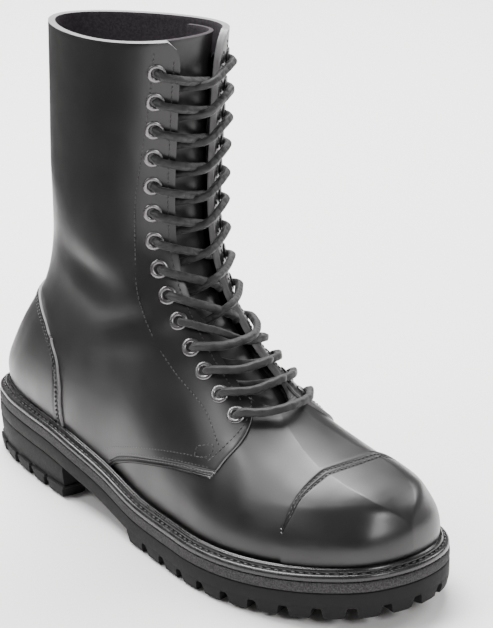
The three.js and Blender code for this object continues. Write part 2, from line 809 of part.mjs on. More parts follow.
// A notch between two lugs at the sole's edge, and the lugs' spacing round an edge
function notch(point, inwards, lift) {
  const narrow = lugGap / 2;
  const wide = narrow * lugFlare;
  const shape = new THREE.Shape([
    new THREE.Vector2(-wide, -1),
    new THREE.Vector2(wide, -1),
    new THREE.Vector2(narrow, lugDepth),
    new THREE.Vector2(-narrow, lugDepth),
  ]);
  const outside = 4;
  const geometry = new THREE.ExtrudeGeometry(shape, { depth: lugReach + outside, bevelEnabled: false });
  const up = new THREE.Vector3(0, 0, 1);
  const along = up.clone().cross(inwards);
  const basis = new THREE.Matrix4().makeBasis(along, up, inwards);
  geometry.applyMatrix4(basis);
  geometry.translate(point.x - inwards.x * outside, point.y - inwards.y * outside, lift);
  return solidOf(geometry);
}

function notchesRound(inRange) {
  const inside = edgePoints.map((point, i) => ({ point, i })).filter(({ point }) => inRange(point.x));
  const wraps = inside.findIndex(({ i }, k) => k > 0 && i !== inside[k - 1].i + 1);
  const run = wraps > 0 ? [...inside.slice(wraps), ...inside.slice(0, wraps)] : inside;
  const spacing = soleCurveLength / edgeSamples;
  const count = Math.round((run.length * spacing) / lugPitch);
  const notches = [];
  for (let k = 1; k < count; k += 1) {
    const { point, i } = run[Math.round((k / count) * (run.length - 1))];
    const before = edgePoints[(i - 1 + edgeSamples) % edgeSamples];
    const after = edgePoints[(i + 1) % edgeSamples];
    const inwards = new THREE.Vector3(-(after.y - before.y), after.x - before.x, 0).normalize();
    notches.push(notch(point, inwards, springAt(point.x)));
  }
  return notches;
}

const soleCurveLength = soleCurve().getLength();
const joined = (solids) => solids.reduce((whole, solid) => whole.add(solid));
const cutFrom = (solid, cuts) => solid.subtract(joined(cuts));

// Straight grooves across the middle of the tread
function groove(x, half, width) {
  const geometry = new THREE.BoxGeometry(width, 2 * half, 2 * lugDepth);
  geometry.translate(x, 0, springAt(x));
  return solidOf(geometry);
}

const grooveShares = [0.6, 0.68, 0.76, 0.84];
const heelGrooveShares = [0.33, 0.66];
const grooveHalf = 0.27 * ballWidth;
const heelGrooveHalf = 0.26 * heelWidth;

function makeOutsole() {
  const base = solidOf(loft([
    layerRing(0, 0, soleLength, stationCount, (x) => rubberTop(x) - baseRubber),
    layerRing(0, 0, soleLength, stationCount, rubberTop),
  ], true));
  const tread = solidOf(loft([
    layerRing(0, treadStart, soleLength, stationCount, springAt),
    layerRing(0, treadStart, soleLength, stationCount, (x) => rubberTop(x) - baseRubber / 2),
  ], false));
  const grooves = grooveShares.map((share) => groove(share * soleLength, grooveHalf, lugGap));
  const cuts = [...notchesRound((x) => x > treadStart), ...grooves];
  return base.add(cutFrom(tread, cuts));
}

function makeHeel() {
  const block = solidOf(loft([
    layerRing(heelTaper, 0, heelBreast - heelTaper, stationCount / 2, () => 0),
    layerRing(0, 0, heelBreast, stationCount / 2, (x) => rubberTop(x) - baseRubber - clearance),
  ], false));
  const grooves = heelGrooveShares.map((share) => groove(share * heelBreast, heelGrooveHalf, lugGap));
  return cutFrom(block, [...notchesRound((x) => x < heelBreast), ...grooves]);
}

function makeMidsole() {
  return solidOf(loft([
    layerRing(0, 0, soleLength, stationCount, (x) => rubberTop(x) + clearance),
    layerRing(0, 0, soleLength, stationCount, midsoleTop),
  ], true));
}

// The welt runs round on the midsole: a flat rim with a bead beside the upper
const insoleInset = weltWidth + wall + weltReach;

function makeWelt() {
  const section = [
    { inset: weltTrim, up: 0 },
    { inset: weltTrim, up: weltThickness },
    { inset: beadInset, up: weltThickness },
    { inset: beadInset + beadWidth / 2, up: weltThickness + beadHeight },
    { inset: beadInset + beadWidth, up: weltThickness },
    { inset: insoleInset - clearance, up: weltThickness },
    { inset: insoleInset - clearance, up: 0 },
  ];
  const rings = section.map(({ inset, up }) => layerRing(
    inset, 0, soleLength, stationCount, (x) => midsoleTop(x) + clearance + up,
  ));
  const size = rings[0].length;
  const faces = [];
  rings.forEach((_, j) => {
    const next = (j + 1) % rings.length;
    for (let i = 0; i < size; i += 1) {
      const [a, b] = [j * size + i, j * size + ((i + 1) % size)];
      const [c, d] = [next * size + i, next * size + ((i + 1) % size)];
      faces.push([a, b, d], [a, d, c]);
    }
  });
  return solidOf(geometryOf(rings.flat(), faces));
}

function makeInsole() {
  const bottom = (x) => midsoleTop(x) + clearance;
  return solidOf(loft([
    layerRing(insoleInset, 0, soleLength, stationCount, bottom),
    layerRing(insoleInset, 0, soleLength, stationCount, (x) => bottom(x) + insoleThickness),
  ], true));
}

function makeUpper() {
  const overlay = outerForm(overlayThickness);
  const flaps = sidePrism(quarterOutline)
    .subtract(frontRibbon(quarterShare, throatHalfAt, 4 * wall, 4 * wall));
  const quarters = overlay.intersect(flaps);
  const toeCap = overlay.intersect(sidePrism(toeCapOutline));
  const counter = outerForm(2 * overlayThickness)
    .intersect(sidePrism(counterOutline).add(backStay()));
  const throat = frontRibbon(vampShare, throatHalfAt, 4 * wall, 4 * wall);
  const holes = [];
  for (let row = 0; row < eyeletCount; row += 1) {
    for (const side of [OUTER, INNER]) holes.push(eyeletHole(row, side));
  }
  const weltSeat = solidOf(loft([
    layerRing(0, 0, soleLength, stationCount, (x) => featherZ(x) - overrun),
    layerRing(0, 0, soleLength, stationCount, featherZ),
  ], true));
  return outerForm(0).add(quarters).add(toeCap).add(counter)
    .subtract(weltSeat)
    .subtract(liningForm(-wall))
    .subtract(throat)
    .subtract(joined(holes));
}

function makeTongue() {
  const outside = wall + clearance;
  const half = tongueWidth / 2;
  const strip = frontRibbon(tongueShare, () => half, half, 2 * wall);
  const reach = collarHeight - tongueDrop;
  const topped = sidePrism([[0, 0], [soleLength, 0], [soleLength, reach], [0, reach]]);
  return liningForm(-outside).subtract(liningForm(-outside - tongueThickness))
    .intersect(strip)
    .intersect(topped);
}

const boot = new THREE.Group();
const addSolid = (name, solid, material) => boot.add(makeMesh(name, geometryFrom(solid), material));
addSolid('outsole', makeOutsole(), colours.rubber);
addSolid('heel', makeHeel(), colours.rubber);
addSolid('midsole', makeMidsole(), colours.midsole);
addSolid('welt', makeWelt(), colours.welt);
addSolid('insole', makeInsole(), colours.insole);
addSolid('upper', makeUpper(), colours.leather);
addSolid('tongue', makeTongue(), colours.tongue);
for (let row = 0; row < eyeletCount; row += 1) {
  for (const side of [OUTER, INNER]) {
    const place = String(row + 1).padStart(2, '0');
    const name = `eyelet_${side === OUTER ? 'outer' : 'inner'}_${place}`;
    boot.add(makeMesh(name, eyeletGeometry(row, side), colours.metal));
  }
}
for (let row = 0; row < eyeletCount; row += 1) {
  const stretches = strandRows.filter(([start]) => start.row === row);
  const name = `lace_${String(row + 1).padStart(2, '0')}`;
  addSolid(name, joined(stretches.map(([start, end]) => strand(start, end))), colours.lace);
}

// The origin goes to the floor under the middle of the boot's box
const box = new THREE.Box3().setFromObject(boot);
boot.position.set(-(box.min.x + box.max.x) / 2, -(box.min.y + box.max.y) / 2, -box.min.z);

export default boot;
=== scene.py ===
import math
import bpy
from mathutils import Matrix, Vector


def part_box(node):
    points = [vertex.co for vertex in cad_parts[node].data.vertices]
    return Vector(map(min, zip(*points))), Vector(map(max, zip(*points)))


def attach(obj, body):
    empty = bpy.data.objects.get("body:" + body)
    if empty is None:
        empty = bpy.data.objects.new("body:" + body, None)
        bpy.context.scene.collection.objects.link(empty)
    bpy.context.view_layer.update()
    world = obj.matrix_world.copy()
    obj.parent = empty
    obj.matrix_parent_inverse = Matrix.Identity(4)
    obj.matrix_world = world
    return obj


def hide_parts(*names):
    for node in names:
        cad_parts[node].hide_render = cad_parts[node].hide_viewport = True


bl_info = {
    "name": "Combat boot",
    "version": (1, 0, 0),
    "blender": (4, 5, 0),
    "location": "3D View > Sidebar > Boot",
    "description": "A high lace-up boot for the right foot, with stitched panels on a lugged sole",
    "category": "Object",
}

import bmesh
import bpy
import numpy as np
from bpy.props import FloatProperty, FloatVectorProperty, PointerProperty
from mathutils import Matrix, Vector

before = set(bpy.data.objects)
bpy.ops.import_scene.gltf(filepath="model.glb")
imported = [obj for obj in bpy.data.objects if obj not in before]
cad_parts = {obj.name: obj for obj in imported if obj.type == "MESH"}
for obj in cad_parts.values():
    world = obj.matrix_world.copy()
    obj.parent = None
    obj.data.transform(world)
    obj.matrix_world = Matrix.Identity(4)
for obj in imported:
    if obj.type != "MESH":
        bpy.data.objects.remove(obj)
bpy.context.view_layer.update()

# Lengths are in millimetres from the heel's end until a mesh is made
MM = 0.001
OUTER, INNER = 0, 1

# Sizes of the sole
sole_low, sole_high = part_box("outsole")
SOLE_LENGTH = (sole_high.x - sole_low.x) / MM
BALL_WIDTH = 107.0
HEEL_WIDTH = 71.0
TOE_SPRING = 8.0
HEEL_RUBBER = 28.0
FORE_RUBBER = 13.5
BASE_RUBBER = 8.0
LUG_DEPTH = 6.0
LUG_PITCH = 17.0
LUG_GAP = 4.6
LUG_REACH = 15.0
LUG_CHAMFER = 1.1
HEEL_BREAST = 94.0
HEEL_BLOCKS = [(LUG_REACH + LUG_GAP + 2, 28), (33, 59), (64, 92)]
TREAD_START = 158.0
TREAD_CUTS = (0.6, 0.68, 0.76, 0.84)
TREAD_END = 290.0
LUG_SINK = 1.5
MIDSOLE = 5.0
WELT = 3.5
WELT_WIDTH = 7.5
WELT_SEAM = 2.55
WELT_THREAD = 0.95
BEAD_INSET = 3.3
BEAD_HEIGHT = 2.2
INSOLE = 3.4
INSOLE_INSET = 13.9
GAP = 0.3

# Sizes of the upper
upper_low, upper_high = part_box("upper")
COLLAR_HEIGHT = upper_high.z / MM
COLLAR_DROP = 8.0
INSTEP_HEIGHT = 114.0
SHAFT_WIDTH = 68.0
WALL = 2.2
OVERLAY = 1.3
TOE_BULGE = 1.8
BULGE_HEIGHT = 14.0
THROAT_GAP = 24.0
LACING_SHIFT = 2.0
EYELET_ROWS = 14
EYELET_FLANGE = 9.2
EYELET_BORE = 4.6
PANEL_WALL = OVERLAY + 0.15
STRIP_LIFT = 1.55 * OVERLAY
TONGUE_WALL = 2.0
CUT_ROUND = 0.35

# Rows of stitches: distances from a panel's edge, and how the thread lies on the leather
QUARTER_STITCHES = (2.0, 4.0, 7.5)
COUNTER_STITCHES = (1.8, 3.6)
CAP_STITCHES = (2.3, 4.6)
FACING_STITCHES = 3.2
STRIP_STITCHES = 6.2
THREAD_LIFT = 0.1
THREAD_SINK = 0.2


def table(names, rows):
    """Rows of numbers as named columns."""
    return dict(zip(names.split(), np.array(rows, float).T))


def column(rows, key, name, at):
    """A column of a table at places between its rows, on a smooth curve."""
    keys, values = rows[key], rows[name]
    at = np.asarray(at, float)
    i = np.clip(np.searchsorted(keys, at, side="left") - 1, 0, len(keys) - 2)
    before = np.maximum(i - 1, 0)
    after = np.minimum(i + 2, len(keys) - 1)
    span = keys[i + 1] - keys[i]
    t = np.clip((at - keys[i]) / span, 0, 1)
    slope_a = (values[i + 1] - values[before]) / (keys[i + 1] - keys[before]) * span
    slope_b = (values[after] - values[i]) / (keys[after] - keys[i]) * span
    rise = 3 * t**2 - 2 * t**3
    ends = (1 - rise) * values[i] + rise * values[i + 1]
    return ends + (t**3 - 2 * t**2 + t) * slope_a + (t**3 - t**2) * slope_b


def smooth(low, high, value):
    t = np.clip((np.asarray(value, float) - low) / (high - low), 0, 1)
    return t * t * (3 - 2 * t)


def unit(vectors):
    return vectors / np.maximum(np.linalg.norm(vectors, axis=-1, keepdims=True), 1e-9)


class Line:
    """A smooth line through points, read by a share of its length."""

    def __init__(self, points, closed=False):
        p = np.array(points, float)
        before = p[-1:] if closed else 2 * p[:1] - p[1:2]
        after = p[:2] if closed else 2 * p[-1:] - p[-2:-1]
        q = np.vstack([before, p, after])
        t = np.linspace(0, 1, 80, endpoint=False)[:, None]
        made = []
        for i in range(1, len(q) - 2):
            a, b, c, d = q[i - 1 : i + 3]
            ab, bc, cd = (max(np.linalg.norm(v), 1e-9) ** 0.5 for v in (b - a, c - b, d - c))
            leave = ((b - a) / ab - (c - a) / (ab + bc) + (c - b) / bc) * bc
            arrive = ((c - b) / bc - (d - b) / (bc + cd) + (d - c) / cd) * bc
            rise = 3 * t**2 - 2 * t**3
            curve = (1 - rise) * b + rise * c
            made.append(curve + (t**3 - 2 * t**2 + t) * leave + (t**3 - t**2) * arrive)
        made.append(q[-2:-1])
        self.points = np.vstack(made)
        steps = np.linalg.norm(np.diff(self.points, axis=0), axis=1)
        self.places = np.concatenate([[0], np.cumsum(steps)])
        self.length = self.places[-1]

    def at(self, share):
        place = np.asarray(share, float) * self.length
        axes = self.points.T
        return np.stack([np.interp(place, self.places, axis) for axis in axes], axis=-1)


class Chain:
    """Lines joined end to end with sharp corners, read by a share of the whole length."""

    def __init__(self, *lines):
        self.lines = lines
        self.ends = np.cumsum([line.length for line in lines])

    def at(self, share):
        place = np.asarray(share, float) * self.ends[-1]
        made = self.lines[0].at(place / self.lines[0].length)
        for line, start in zip(self.lines[1:], self.ends):
            past = (place > start)[..., None]
            made = np.where(past, line.at((place - start) / line.length), made)
        return made


# The sole's edge from above: shares of the length and of half the width at each place
SOLE_ROWS = table("along outer inner width", [
    (0.030, 0.60, 0.69, HEEL_WIDTH),
    (0.090, 0.86, 0.95, HEEL_WIDTH),
    (0.180, 1.02, 1.00, HEEL_WIDTH),
    (0.300, 0.75, 0.62, BALL_WIDTH),
    (0.420, 0.77, 0.56, BALL_WIDTH),
    (0.520, 0.85, 0.66, BALL_WIDTH),
    (0.620, 0.92, 0.83, BALL_WIDTH),
    (0.700, 0.96, 0.97, BALL_WIDTH),
    (0.780, 0.92, 1.06, BALL_WIDTH),
    (0.860, 0.78, 1.04, BALL_WIDTH),
    (0.930, 0.55, 0.90, BALL_WIDTH),
    (0.980, 0.26, 0.62, BALL_WIDTH),
])
TOE_TIP_SHIFT = 0.09
EDGE_STEPS = 720


def sole_line():
    xs = SOLE_ROWS["along"] * SOLE_LENGTH
    outer = np.stack([xs, -SOLE_ROWS["outer"] * SOLE_ROWS["width"] / 2], axis=1)
    inner = np.stack([xs, SOLE_ROWS["inner"] * SOLE_ROWS["width"] / 2], axis=1)[::-1]
    toe = [[SOLE_LENGTH, TOE_TIP_SHIFT * BALL_WIDTH]]
    return Line(np.vstack([[[0, 0]], outer, toe, inner]), closed=True)


sole_edge = sole_line()


def edge_at(share, inset):
    """Points round the sole's edge, moved inwards. The share runs heel, outer side, toe, inner side."""
    share = np.asarray(share, float) % 1
    nudge = 0.5 / EDGE_STEPS
    along = sole_edge.at((share + nudge) % 1) - sole_edge.at((share - nudge) % 1)
    along /= np.linalg.norm(along, axis=-1, keepdims=True)
    inset = np.asarray(inset, float)[..., None]
    return sole_edge.at(share) + inset * np.stack([-along[..., 1], along[..., 0]], axis=-1)


class Widths:
    """The inset sole's sides at any place along it."""

    def __init__(self, inset):
        edge = edge_at(np.arange(EDGE_STEPS) / EDGE_STEPS, inset)
        heel, toe = edge[:, 0].argmin(), edge[:, 0].argmax()
        edge = np.roll(edge, -heel, axis=0)
        toe = (toe - heel) % EDGE_STEPS
        outer = edge[: toe + 1]
        inner = np.vstack([edge[toe:], edge[:1]])[::-1]
        self.start, self.end = edge[0, 0], edge[toe, 0]
        self.sides = [outer[np.argsort(outer[:, 0])], inner[np.argsort(inner[:, 0])]]

    def at(self, x, side):
        outer, inner = (np.interp(x, line[:, 0], line[:, 1]) for line in self.sides)
        return np.where(np.asarray(side) == OUTER, outer, inner)


# Heights of the sole's layers, with the shares of the length where slope and spring begin and end
SPRING_START = 0.66
HEEL_END, BALL_START = 0.22, 0.56


def spring_at(x):
    share = np.clip((np.asarray(x) / SOLE_LENGTH - SPRING_START) / (1 - SPRING_START), 0, 1)
    return TOE_SPRING * share**2


def rubber_top(x):
    slope = 1 - smooth(HEEL_END, BALL_START, np.asarray(x) / SOLE_LENGTH)
    return FORE_RUBBER + (HEEL_RUBBER - FORE_RUBBER) * slope + spring_at(x)


def midsole_top(x):
    return rubber_top(x) + GAP + MIDSOLE


def feather_z(x):
    return midsole_top(x) + GAP + WELT + GAP


# The upper's front line, back line and rings, in the shares that the boot's last gives
FRONT_FOOT = table("along up", [
    (0.976, 0.000), (0.976, 0.095), (0.971, 0.202), (0.955, 0.292), (0.926, 0.357),
    (0.885, 0.405), (0.840, 0.446), (0.795, 0.494), (0.744, 0.565), (0.696, 0.655),
    (0.651, 0.762), (0.609, 0.875), (0.571, 1.000),
])
FRONT_SHAFT = table("along rise", [
    (0.533, 0.094), (0.510, 0.203), (0.501, 0.333), (0.502, 0.493), (0.508, 0.659),
    (0.515, 0.826), (0.526, 1.000),
])
BACK_LINE = table("along up", [
    (0.040, 0.000), (0.038, 0.061), (0.054, 0.119), (0.082, 0.197), (0.118, 0.279),
    (0.143, 0.361), (0.155, 0.448), (0.159, 0.545), (0.160, 0.690), (0.162, 1.000),
])
RING_ROWS = table("level front back shaft width taper round", [
    (0.00, 0.000, 0.000, 0.00, 1.00, 0.05, 2.2),
    (0.07, 0.045, 0.030, 0.00, 1.00, 0.05, 2.2),
    (0.14, 0.095, 0.065, 0.00, 1.00, 0.05, 2.2),
    (0.22, 0.155, 0.100, 0.00, 1.00, 0.05, 2.2),
    (0.30, 0.235, 0.150, 0.03, 0.89, 0.08, 2.2),
    (0.38, 0.315, 0.215, 0.12, 0.86, 0.10, 2.1),
    (0.46, 0.395, 0.300, 0.30, 0.85, 0.13, 2.1),
    (0.54, 0.475, 0.395, 0.58, 0.86, 0.15, 2.1),
    (0.62, 0.550, 0.490, 0.85, 0.88, 0.18, 2.1),
    (0.70, 0.630, 0.585, 1.00, 0.92, 0.20, 2.1),
    (0.80, 0.750, 0.725, 1.00, 0.94, 0.24, 2.1),
    (0.90, 0.875, 0.860, 1.00, 0.95, 0.27, 2.1),
    (1.00, 1.000, 1.000, 1.00, 0.96, 0.28, 2.1),
])
FOOT_ROWS = table("along round lean", [
    (0.00, 2.3, 0.000), (0.45, 2.1, 0.030), (0.65, 2.0, 0.050),
    (0.80, 2.0, 0.020), (0.92, 2.4, 0.005), (1.00, 2.6, 0.000),
])
INSTEP_SLOPE = 1.15
REAR_SHARE = 0.45


def line_points(rows, key, low, high):
    heights = low + (high - low) * rows[key]
    return np.stack([rows["along"] * SOLE_LENGTH, heights], axis=1)


front_line = Line(np.vstack([
    line_points(FRONT_FOOT, "up", feather_z(FRONT_FOOT["along"][0] * SOLE_LENGTH), INSTEP_HEIGHT),
    line_points(FRONT_SHAFT, "rise", INSTEP_HEIGHT, COLLAR_HEIGHT),
]))
back_line = Line(line_points(
    BACK_LINE, "up", feather_z(BACK_LINE["along"][0] * SOLE_LENGTH), COLLAR_HEIGHT - COLLAR_DROP,
))
feather = Widths(WELT_WIDTH)
fine_levels = np.linspace(0, 1, 1601)
ring_values = {
    name: column(RING_ROWS, "level", name, fine_levels)
    for name in ("front", "back", "shaft", "width", "taper", "round")
}
ring_fronts = front_line.at(np.clip(ring_values["front"], 0, 1))
ring_backs = back_line.at(np.clip(ring_values["back"], 0, 1))
ridge = front_line.at(np.linspace(0, 1, 1200))
instep_x = FRONT_FOOT["along"][-1] * SOLE_LENGTH
ridge_part = ridge[(ridge[:, 0] >= instep_x) & (ridge[:, 1] <= INSTEP_HEIGHT)][::-1]
ridge_part[:, 0] = np.maximum.accumulate(ridge_part[:, 0])


def ridge_at(x):
    low = np.interp(x, ridge_part[:, 0], ridge_part[:, 1])
    return np.where(x <= instep_x, INSTEP_HEIGHT + (instep_x - x) * INSTEP_SLOPE, low)


def ring_value(name, level):
    return np.interp(level, fine_levels, ring_values[name])


def bare_last(turn, level):
    """The last's surface before its bulge. turn is 0 at the back, 1 at the front by the outer
    side and 2 at the back again by the inner side, and level is 0 at the welt, 1 at the collar."""
    turn = np.asarray(turn, float) % 2
    level = np.clip(np.asarray(level, float), 0, 1)
    inner = turn > 1
    share = np.where(inner, 2 - turn, turn)
    front = [np.interp(level, fine_levels, ring_fronts[:, k]) for k in (0, 1)]
    back = [np.interp(level, fine_levels, ring_backs[:, k]) for k in (0, 1)]
    t = -np.cos(np.pi * share)
    x = back[0] + (front[0] - back[0]) * (1 + t) / 2
    flat = 1 - smooth(0.05, 0.5, level)
    low_end, high_end = feather_z(feather.start), feather_z(feather.end)
    chord = low_end + (high_end - low_end) * (1 + t) / 2
    z = back[1] + (front[1] - back[1]) * (1 + t) / 2 + flat * (feather_z(x) - chord)
    front_lift = (front[1] - feather_z(front[0])) / (ridge_at(front[0]) - feather_z(front[0]))
    lift = (z - feather_z(x)) / (ridge_at(x) - feather_z(x))
    lift = np.clip(lift / np.maximum(front_lift, 1), 0, 1) * (level > 0)
    along = x / SOLE_LENGTH
    power = column(FOOT_ROWS, "along", "round", along)
    lean = column(FOOT_ROWS, "along", "lean", along) * BALL_WIDTH
    rear = 1 - smooth(0, REAR_SHARE * SOLE_LENGTH, x - back[0])
    fore = smooth(0.75, 1, (1 + t) / 2) * (1 - smooth(0.08, 0.16, level))
    foot_x = x - (back[0] - feather.start) * rear + (feather.end - front[0]) * fore
    sides = feather.at(foot_x, OUTER), feather.at(foot_x, INNER)
    middle = (sides[0] + sides[1]) / 2
    body = (1 - lift**power) ** (1 / power)
    foot = middle + (np.where(inner, sides[1], sides[0]) - middle) * body + lean * lift**2
    rounding = ring_value("round", level)
    half = ring_value("width", level) * SHAFT_WIDTH / 2 * (1 + ring_value("taper", level) * t)
    bow = half * np.maximum(1 - np.abs(t) ** rounding, 0) ** (1 / rounding)
    tube = np.where(inner, bow, -bow)
    y = foot + (tube - foot) * np.clip(ring_value("shaft", level), 0, 1)
    return np.stack(np.broadcast_arrays(x, y, z), axis=-1)


def last(turn, level):
    """The last's surface with the wall's bulge above the welt."""
    nudge = 0.006
    point = bare_last(turn, level)
    turn = np.asarray(turn)
    along = unit((bare_last(turn + nudge, level) - bare_last(turn - nudge, level))[..., :2])
    above = np.maximum(point[..., 2] - feather_z(point[..., 0]), 0) / BULGE_HEIGHT
    push = TOE_BULGE * math.e * above * np.exp(-above)
    point[..., 0] += along[..., 1] * push
    point[..., 1] -= along[..., 0] * push
    return point


def last_normal(turn, level):
    nudge = 0.008
    turn, level = np.asarray(turn), np.asarray(level)
    across = last(turn + nudge, level) - last(turn - nudge, level)
    up = last(turn, np.minimum(level + nudge, 1)) - last(turn, np.maximum(level - nudge, 0))
    return unit(np.cross(across, up))


# Creases placed one by one: middle, direction in the side view, length, width and depth.
# A trough has a negative height and a ridge a positive one
CREASES = table("x z slope long wide height side", [
    (150, 112, 0.35, 34, 7, -0.9, OUTER),
    (146, 100, 0.30, 30, 8, 0.7, OUTER),
    (112, 128, -0.10, 30, 9, -0.8, OUTER),
    (104, 116, -0.20, 28, 9, 0.6, OUTER),
    (78, 150, -0.30, 30, 12, -0.5, OUTER),
    (140, 150, 0.10, 26, 12, -0.4, OUTER),
    (120, 190, 0.05, 34, 16, -0.4, OUTER),
    (226, 56, -1.20, 20, 7, -0.5, OUTER),
    (236, 52, -1.10, 20, 7, 0.4, OUTER),
    (150, 112, 0.35, 34, 7, -0.9, INNER),
    (146, 100, 0.30, 30, 8, 0.7, INNER),
    (112, 126, -0.15, 30, 9, -0.8, INNER),
    (92, 160, -0.10, 30, 14, -0.5, INNER),
    (228, 60, -1.10, 22, 7, -0.5, INNER),
])


def creases_at(point, depth):
    total = np.zeros(point.shape[:-1])
    for k in range(len(CREASES["x"])):
        one = {name: values[k] for name, values in CREASES.items()}
        dx, dz = point[..., 0] - one["x"], point[..., 2] - one["z"]
        norm = math.hypot(1, one["slope"])
        along = (dx + one["slope"] * dz) / norm
        across = (dz - one["slope"] * dx) / norm
        sign = -1 if one["side"] == OUTER else 1
        near = smooth(2, 16, sign * point[..., 1])
        fade = (along / one["long"]) ** 2 + (across / one["wide"]) ** 2
        total += one["height"] * near * np.exp(-fade)
    return depth * total


def skin(turn, level, offset):
    """A layer of the upper at an offset from the last."""
    point = last(turn, level)
    lift = np.asarray(offset) + creases_at(point, bpy.context.scene.boot_sizes.crease_depth)
    return point + last_normal(turn, level) * np.asarray(lift)[..., None]


# Finding places on the last
coarse_turns, coarse_levels = np.meshgrid(np.linspace(0.01, 0.99, 70), np.linspace(0, 1, 90))
coarse = [last(coarse_turns, coarse_levels), last(2 - coarse_turns, coarse_levels)]


def locate(side, x, z):
    """(share of the way to the front, level) of the places that show at x and z from one side."""
    x, z = np.atleast_1d(np.asarray(x, float)), np.atleast_1d(np.asarray(z, float))
    points = coarse[side]
    share, level = np.zeros(x.shape), np.zeros(x.shape)
    for i in range(x.size):
        away = (points[..., 0] - x[i]) ** 2 + (points[..., 2] - z[i]) ** 2
        best = np.unravel_index(away.argmin(), away.shape)
        share[i], level[i] = coarse_turns[best], coarse_levels[best]
    nudge = 0.003
    for _ in range(14):
        here = on_side(side, share, level)
        a = (on_side(side, share + nudge, level) - on_side(side, share - nudge, level)) / (2 * nudge)
        up, down = np.minimum(level + nudge, 1), np.maximum(level - nudge, 0)
        b = (on_side(side, share, up) - on_side(side, share, down)) / (up - down)[:, None]
        ex, ez = x - here[:, 0], z - here[:, 2]
        det = a[:, 0] * b[:, 2] - a[:, 2] * b[:, 0]
        det = np.where(np.abs(det) < 1e-3, 1e-3, det)
        share = np.clip(share + np.clip((ex * b[:, 2] - ez * b[:, 0]) / det, -0.05, 0.05), 0.001, 0.995)
        level = np.clip(level + np.clip((a[:, 0] * ez - a[:, 2] * ex) / det, -0.05, 0.05), 0, 1)
    return np.stack([share, level], axis=1)


def turn_of(side, share):
    return share if side == OUTER else 2 - share


def on_side(side, share, level):
    return last(turn_of(side, share), level)


def halve(low, high, past):
    """The places between low and high from which past(place) is true."""
    for _ in range(30):
        middle = (low + high) / 2
        over = past(middle)
        high = np.where(over, middle, high)
        low = np.where(over, low, middle)
    return (low + high) / 2


def share_at_y(side, level, y, low=0.5, high=1.0):
    """The share between two others where the ring at a level has this y."""
    level = np.asarray(level, float)
    low, high = np.full(level.shape, low), np.full(level.shape, high)
    rising = on_side(side, high, level)[..., 1] > on_side(side, low, level)[..., 1]
    return halve(low, high, lambda share: (on_side(side, share, level)[..., 1] > y) == rising)


def side_y(side, half):
    return LACING_SHIFT + (-half if side == OUTER else half)


# Making meshes. Points nearer than this, in metres, are joined: a panel's two sides, a ring's ends
# and a tube's
PANEL_WELD, RING_WELD, TUBE_WELD = 2e-5, 1e-6, 1e-7
boot_shift = np.array([
    sole_low.x / MM,
    sole_low.y / MM - edge_at(np.arange(EDGE_STEPS) / EDGE_STEPS, 0)[:, 1].min(),
    0,
])


def to_frame(points):
    return (np.asarray(points) + boot_shift) * MM


def add_patch(bm, columns, rows, place):
    """Adds a grid whose points are set by place(across, up), both from 0 to 1."""
    old = set(bm.verts)
    bmesh.ops.create_grid(bm, x_segments=columns, y_segments=rows, size=0.5, calc_uvs=True)
    verts = [v for v in bm.verts if v not in old] if old else list(bm.verts)
    grid = np.array([v.co[:2] for v in verts]) + 0.5
    for vert, point in zip(verts, to_frame(place(grid[:, 0], grid[:, 1]))):
        vert.co = point
    return verts


def fill_holes(bm):
    bmesh.ops.holes_fill(bm, edges=[edge for edge in bm.edges if edge.is_boundary], sides=0)


def add_tower(bm, rings, capped=True):
    """Adds a closed solid from rings of equal length, anticlockwise from above, bottom to top."""
    rings = np.array(rings)
    rows, count = rings.shape[0] - 1, rings.shape[1]

    def place(across, up):
        i = np.rint(across * count).astype(int) % count
        return rings[np.rint(up * rows).astype(int), i]

    verts = add_patch(bm, count, rows, place)
    bmesh.ops.remove_doubles(bm, verts=verts, dist=RING_WELD)
    if capped:
        fill_holes(bm)


def new_bmesh():
    bm = bmesh.new()
    bm.loops.layers.uv.new("UVMap")
    return bm


def make_piece(bm, name, materials, replaced=(), sharp=None):
    """Turns a bmesh into a piece of the boot, with its finish and body."""
    if sharp:
        bmesh.ops.recalc_face_normals(bm, faces=bm.faces)
    mesh = bpy.data.meshes.new(name)
    bm.to_mesh(mesh)
    bm.free()
    for material in materials:
        mesh.materials.append(material)
    mesh.shade_smooth()
    if sharp:
        mesh.set_sharp_from_angle(angle=math.radians(sharp))
    piece = bpy.data.objects.new(name, mesh)
    bpy.context.scene.collection.objects.link(piece)
    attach(piece, "root")
    if replaced:
        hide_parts(*replaced)
    return piece


def give_wall(piece, thickness, inner=0, rim=1):
    """Gives a skin its thickness inwards and rounds its cut edges."""
    solid = piece.modifiers.new("wall", "SOLIDIFY")
    solid.thickness = thickness * MM
    solid.offset = -1
    solid.use_even_offset = False
    solid.use_rim = True
    solid.material_offset = inner
    solid.material_offset_rim = rim
    bevel = piece.modifiers.new("cut_edge", "BEVEL")
    bevel.width = CUT_ROUND * MM
    bevel.segments = 2
    bevel.limit_method = "ANGLE"
    bevel.angle_limit = math.radians(50)
    bevel.material = -1


# Shader node groups
def new_group(name, inputs, outputs):
    group = bpy.data.node_groups.new(name, "ShaderNodeTree")
    for label, kind, value in inputs:
        socket = group.interface.new_socket(name=label, in_out="INPUT", socket_type=kind)
        socket.default_value = value
    for label, kind in outputs:
        group.interface.new_socket(name=label, in_out="OUTPUT", socket_type=kind)
    return group, group.nodes.new("NodeGroupInput"), group.nodes.new("NodeGroupOutput")


def add_node(tree, kind, **values):
    node = tree.nodes.new(kind)
    for key, value in values.items():
        if hasattr(node, key):
            setattr(node, key, value)
        else:
            node.inputs[key.replace("_", " ")].default_value = value
    return node


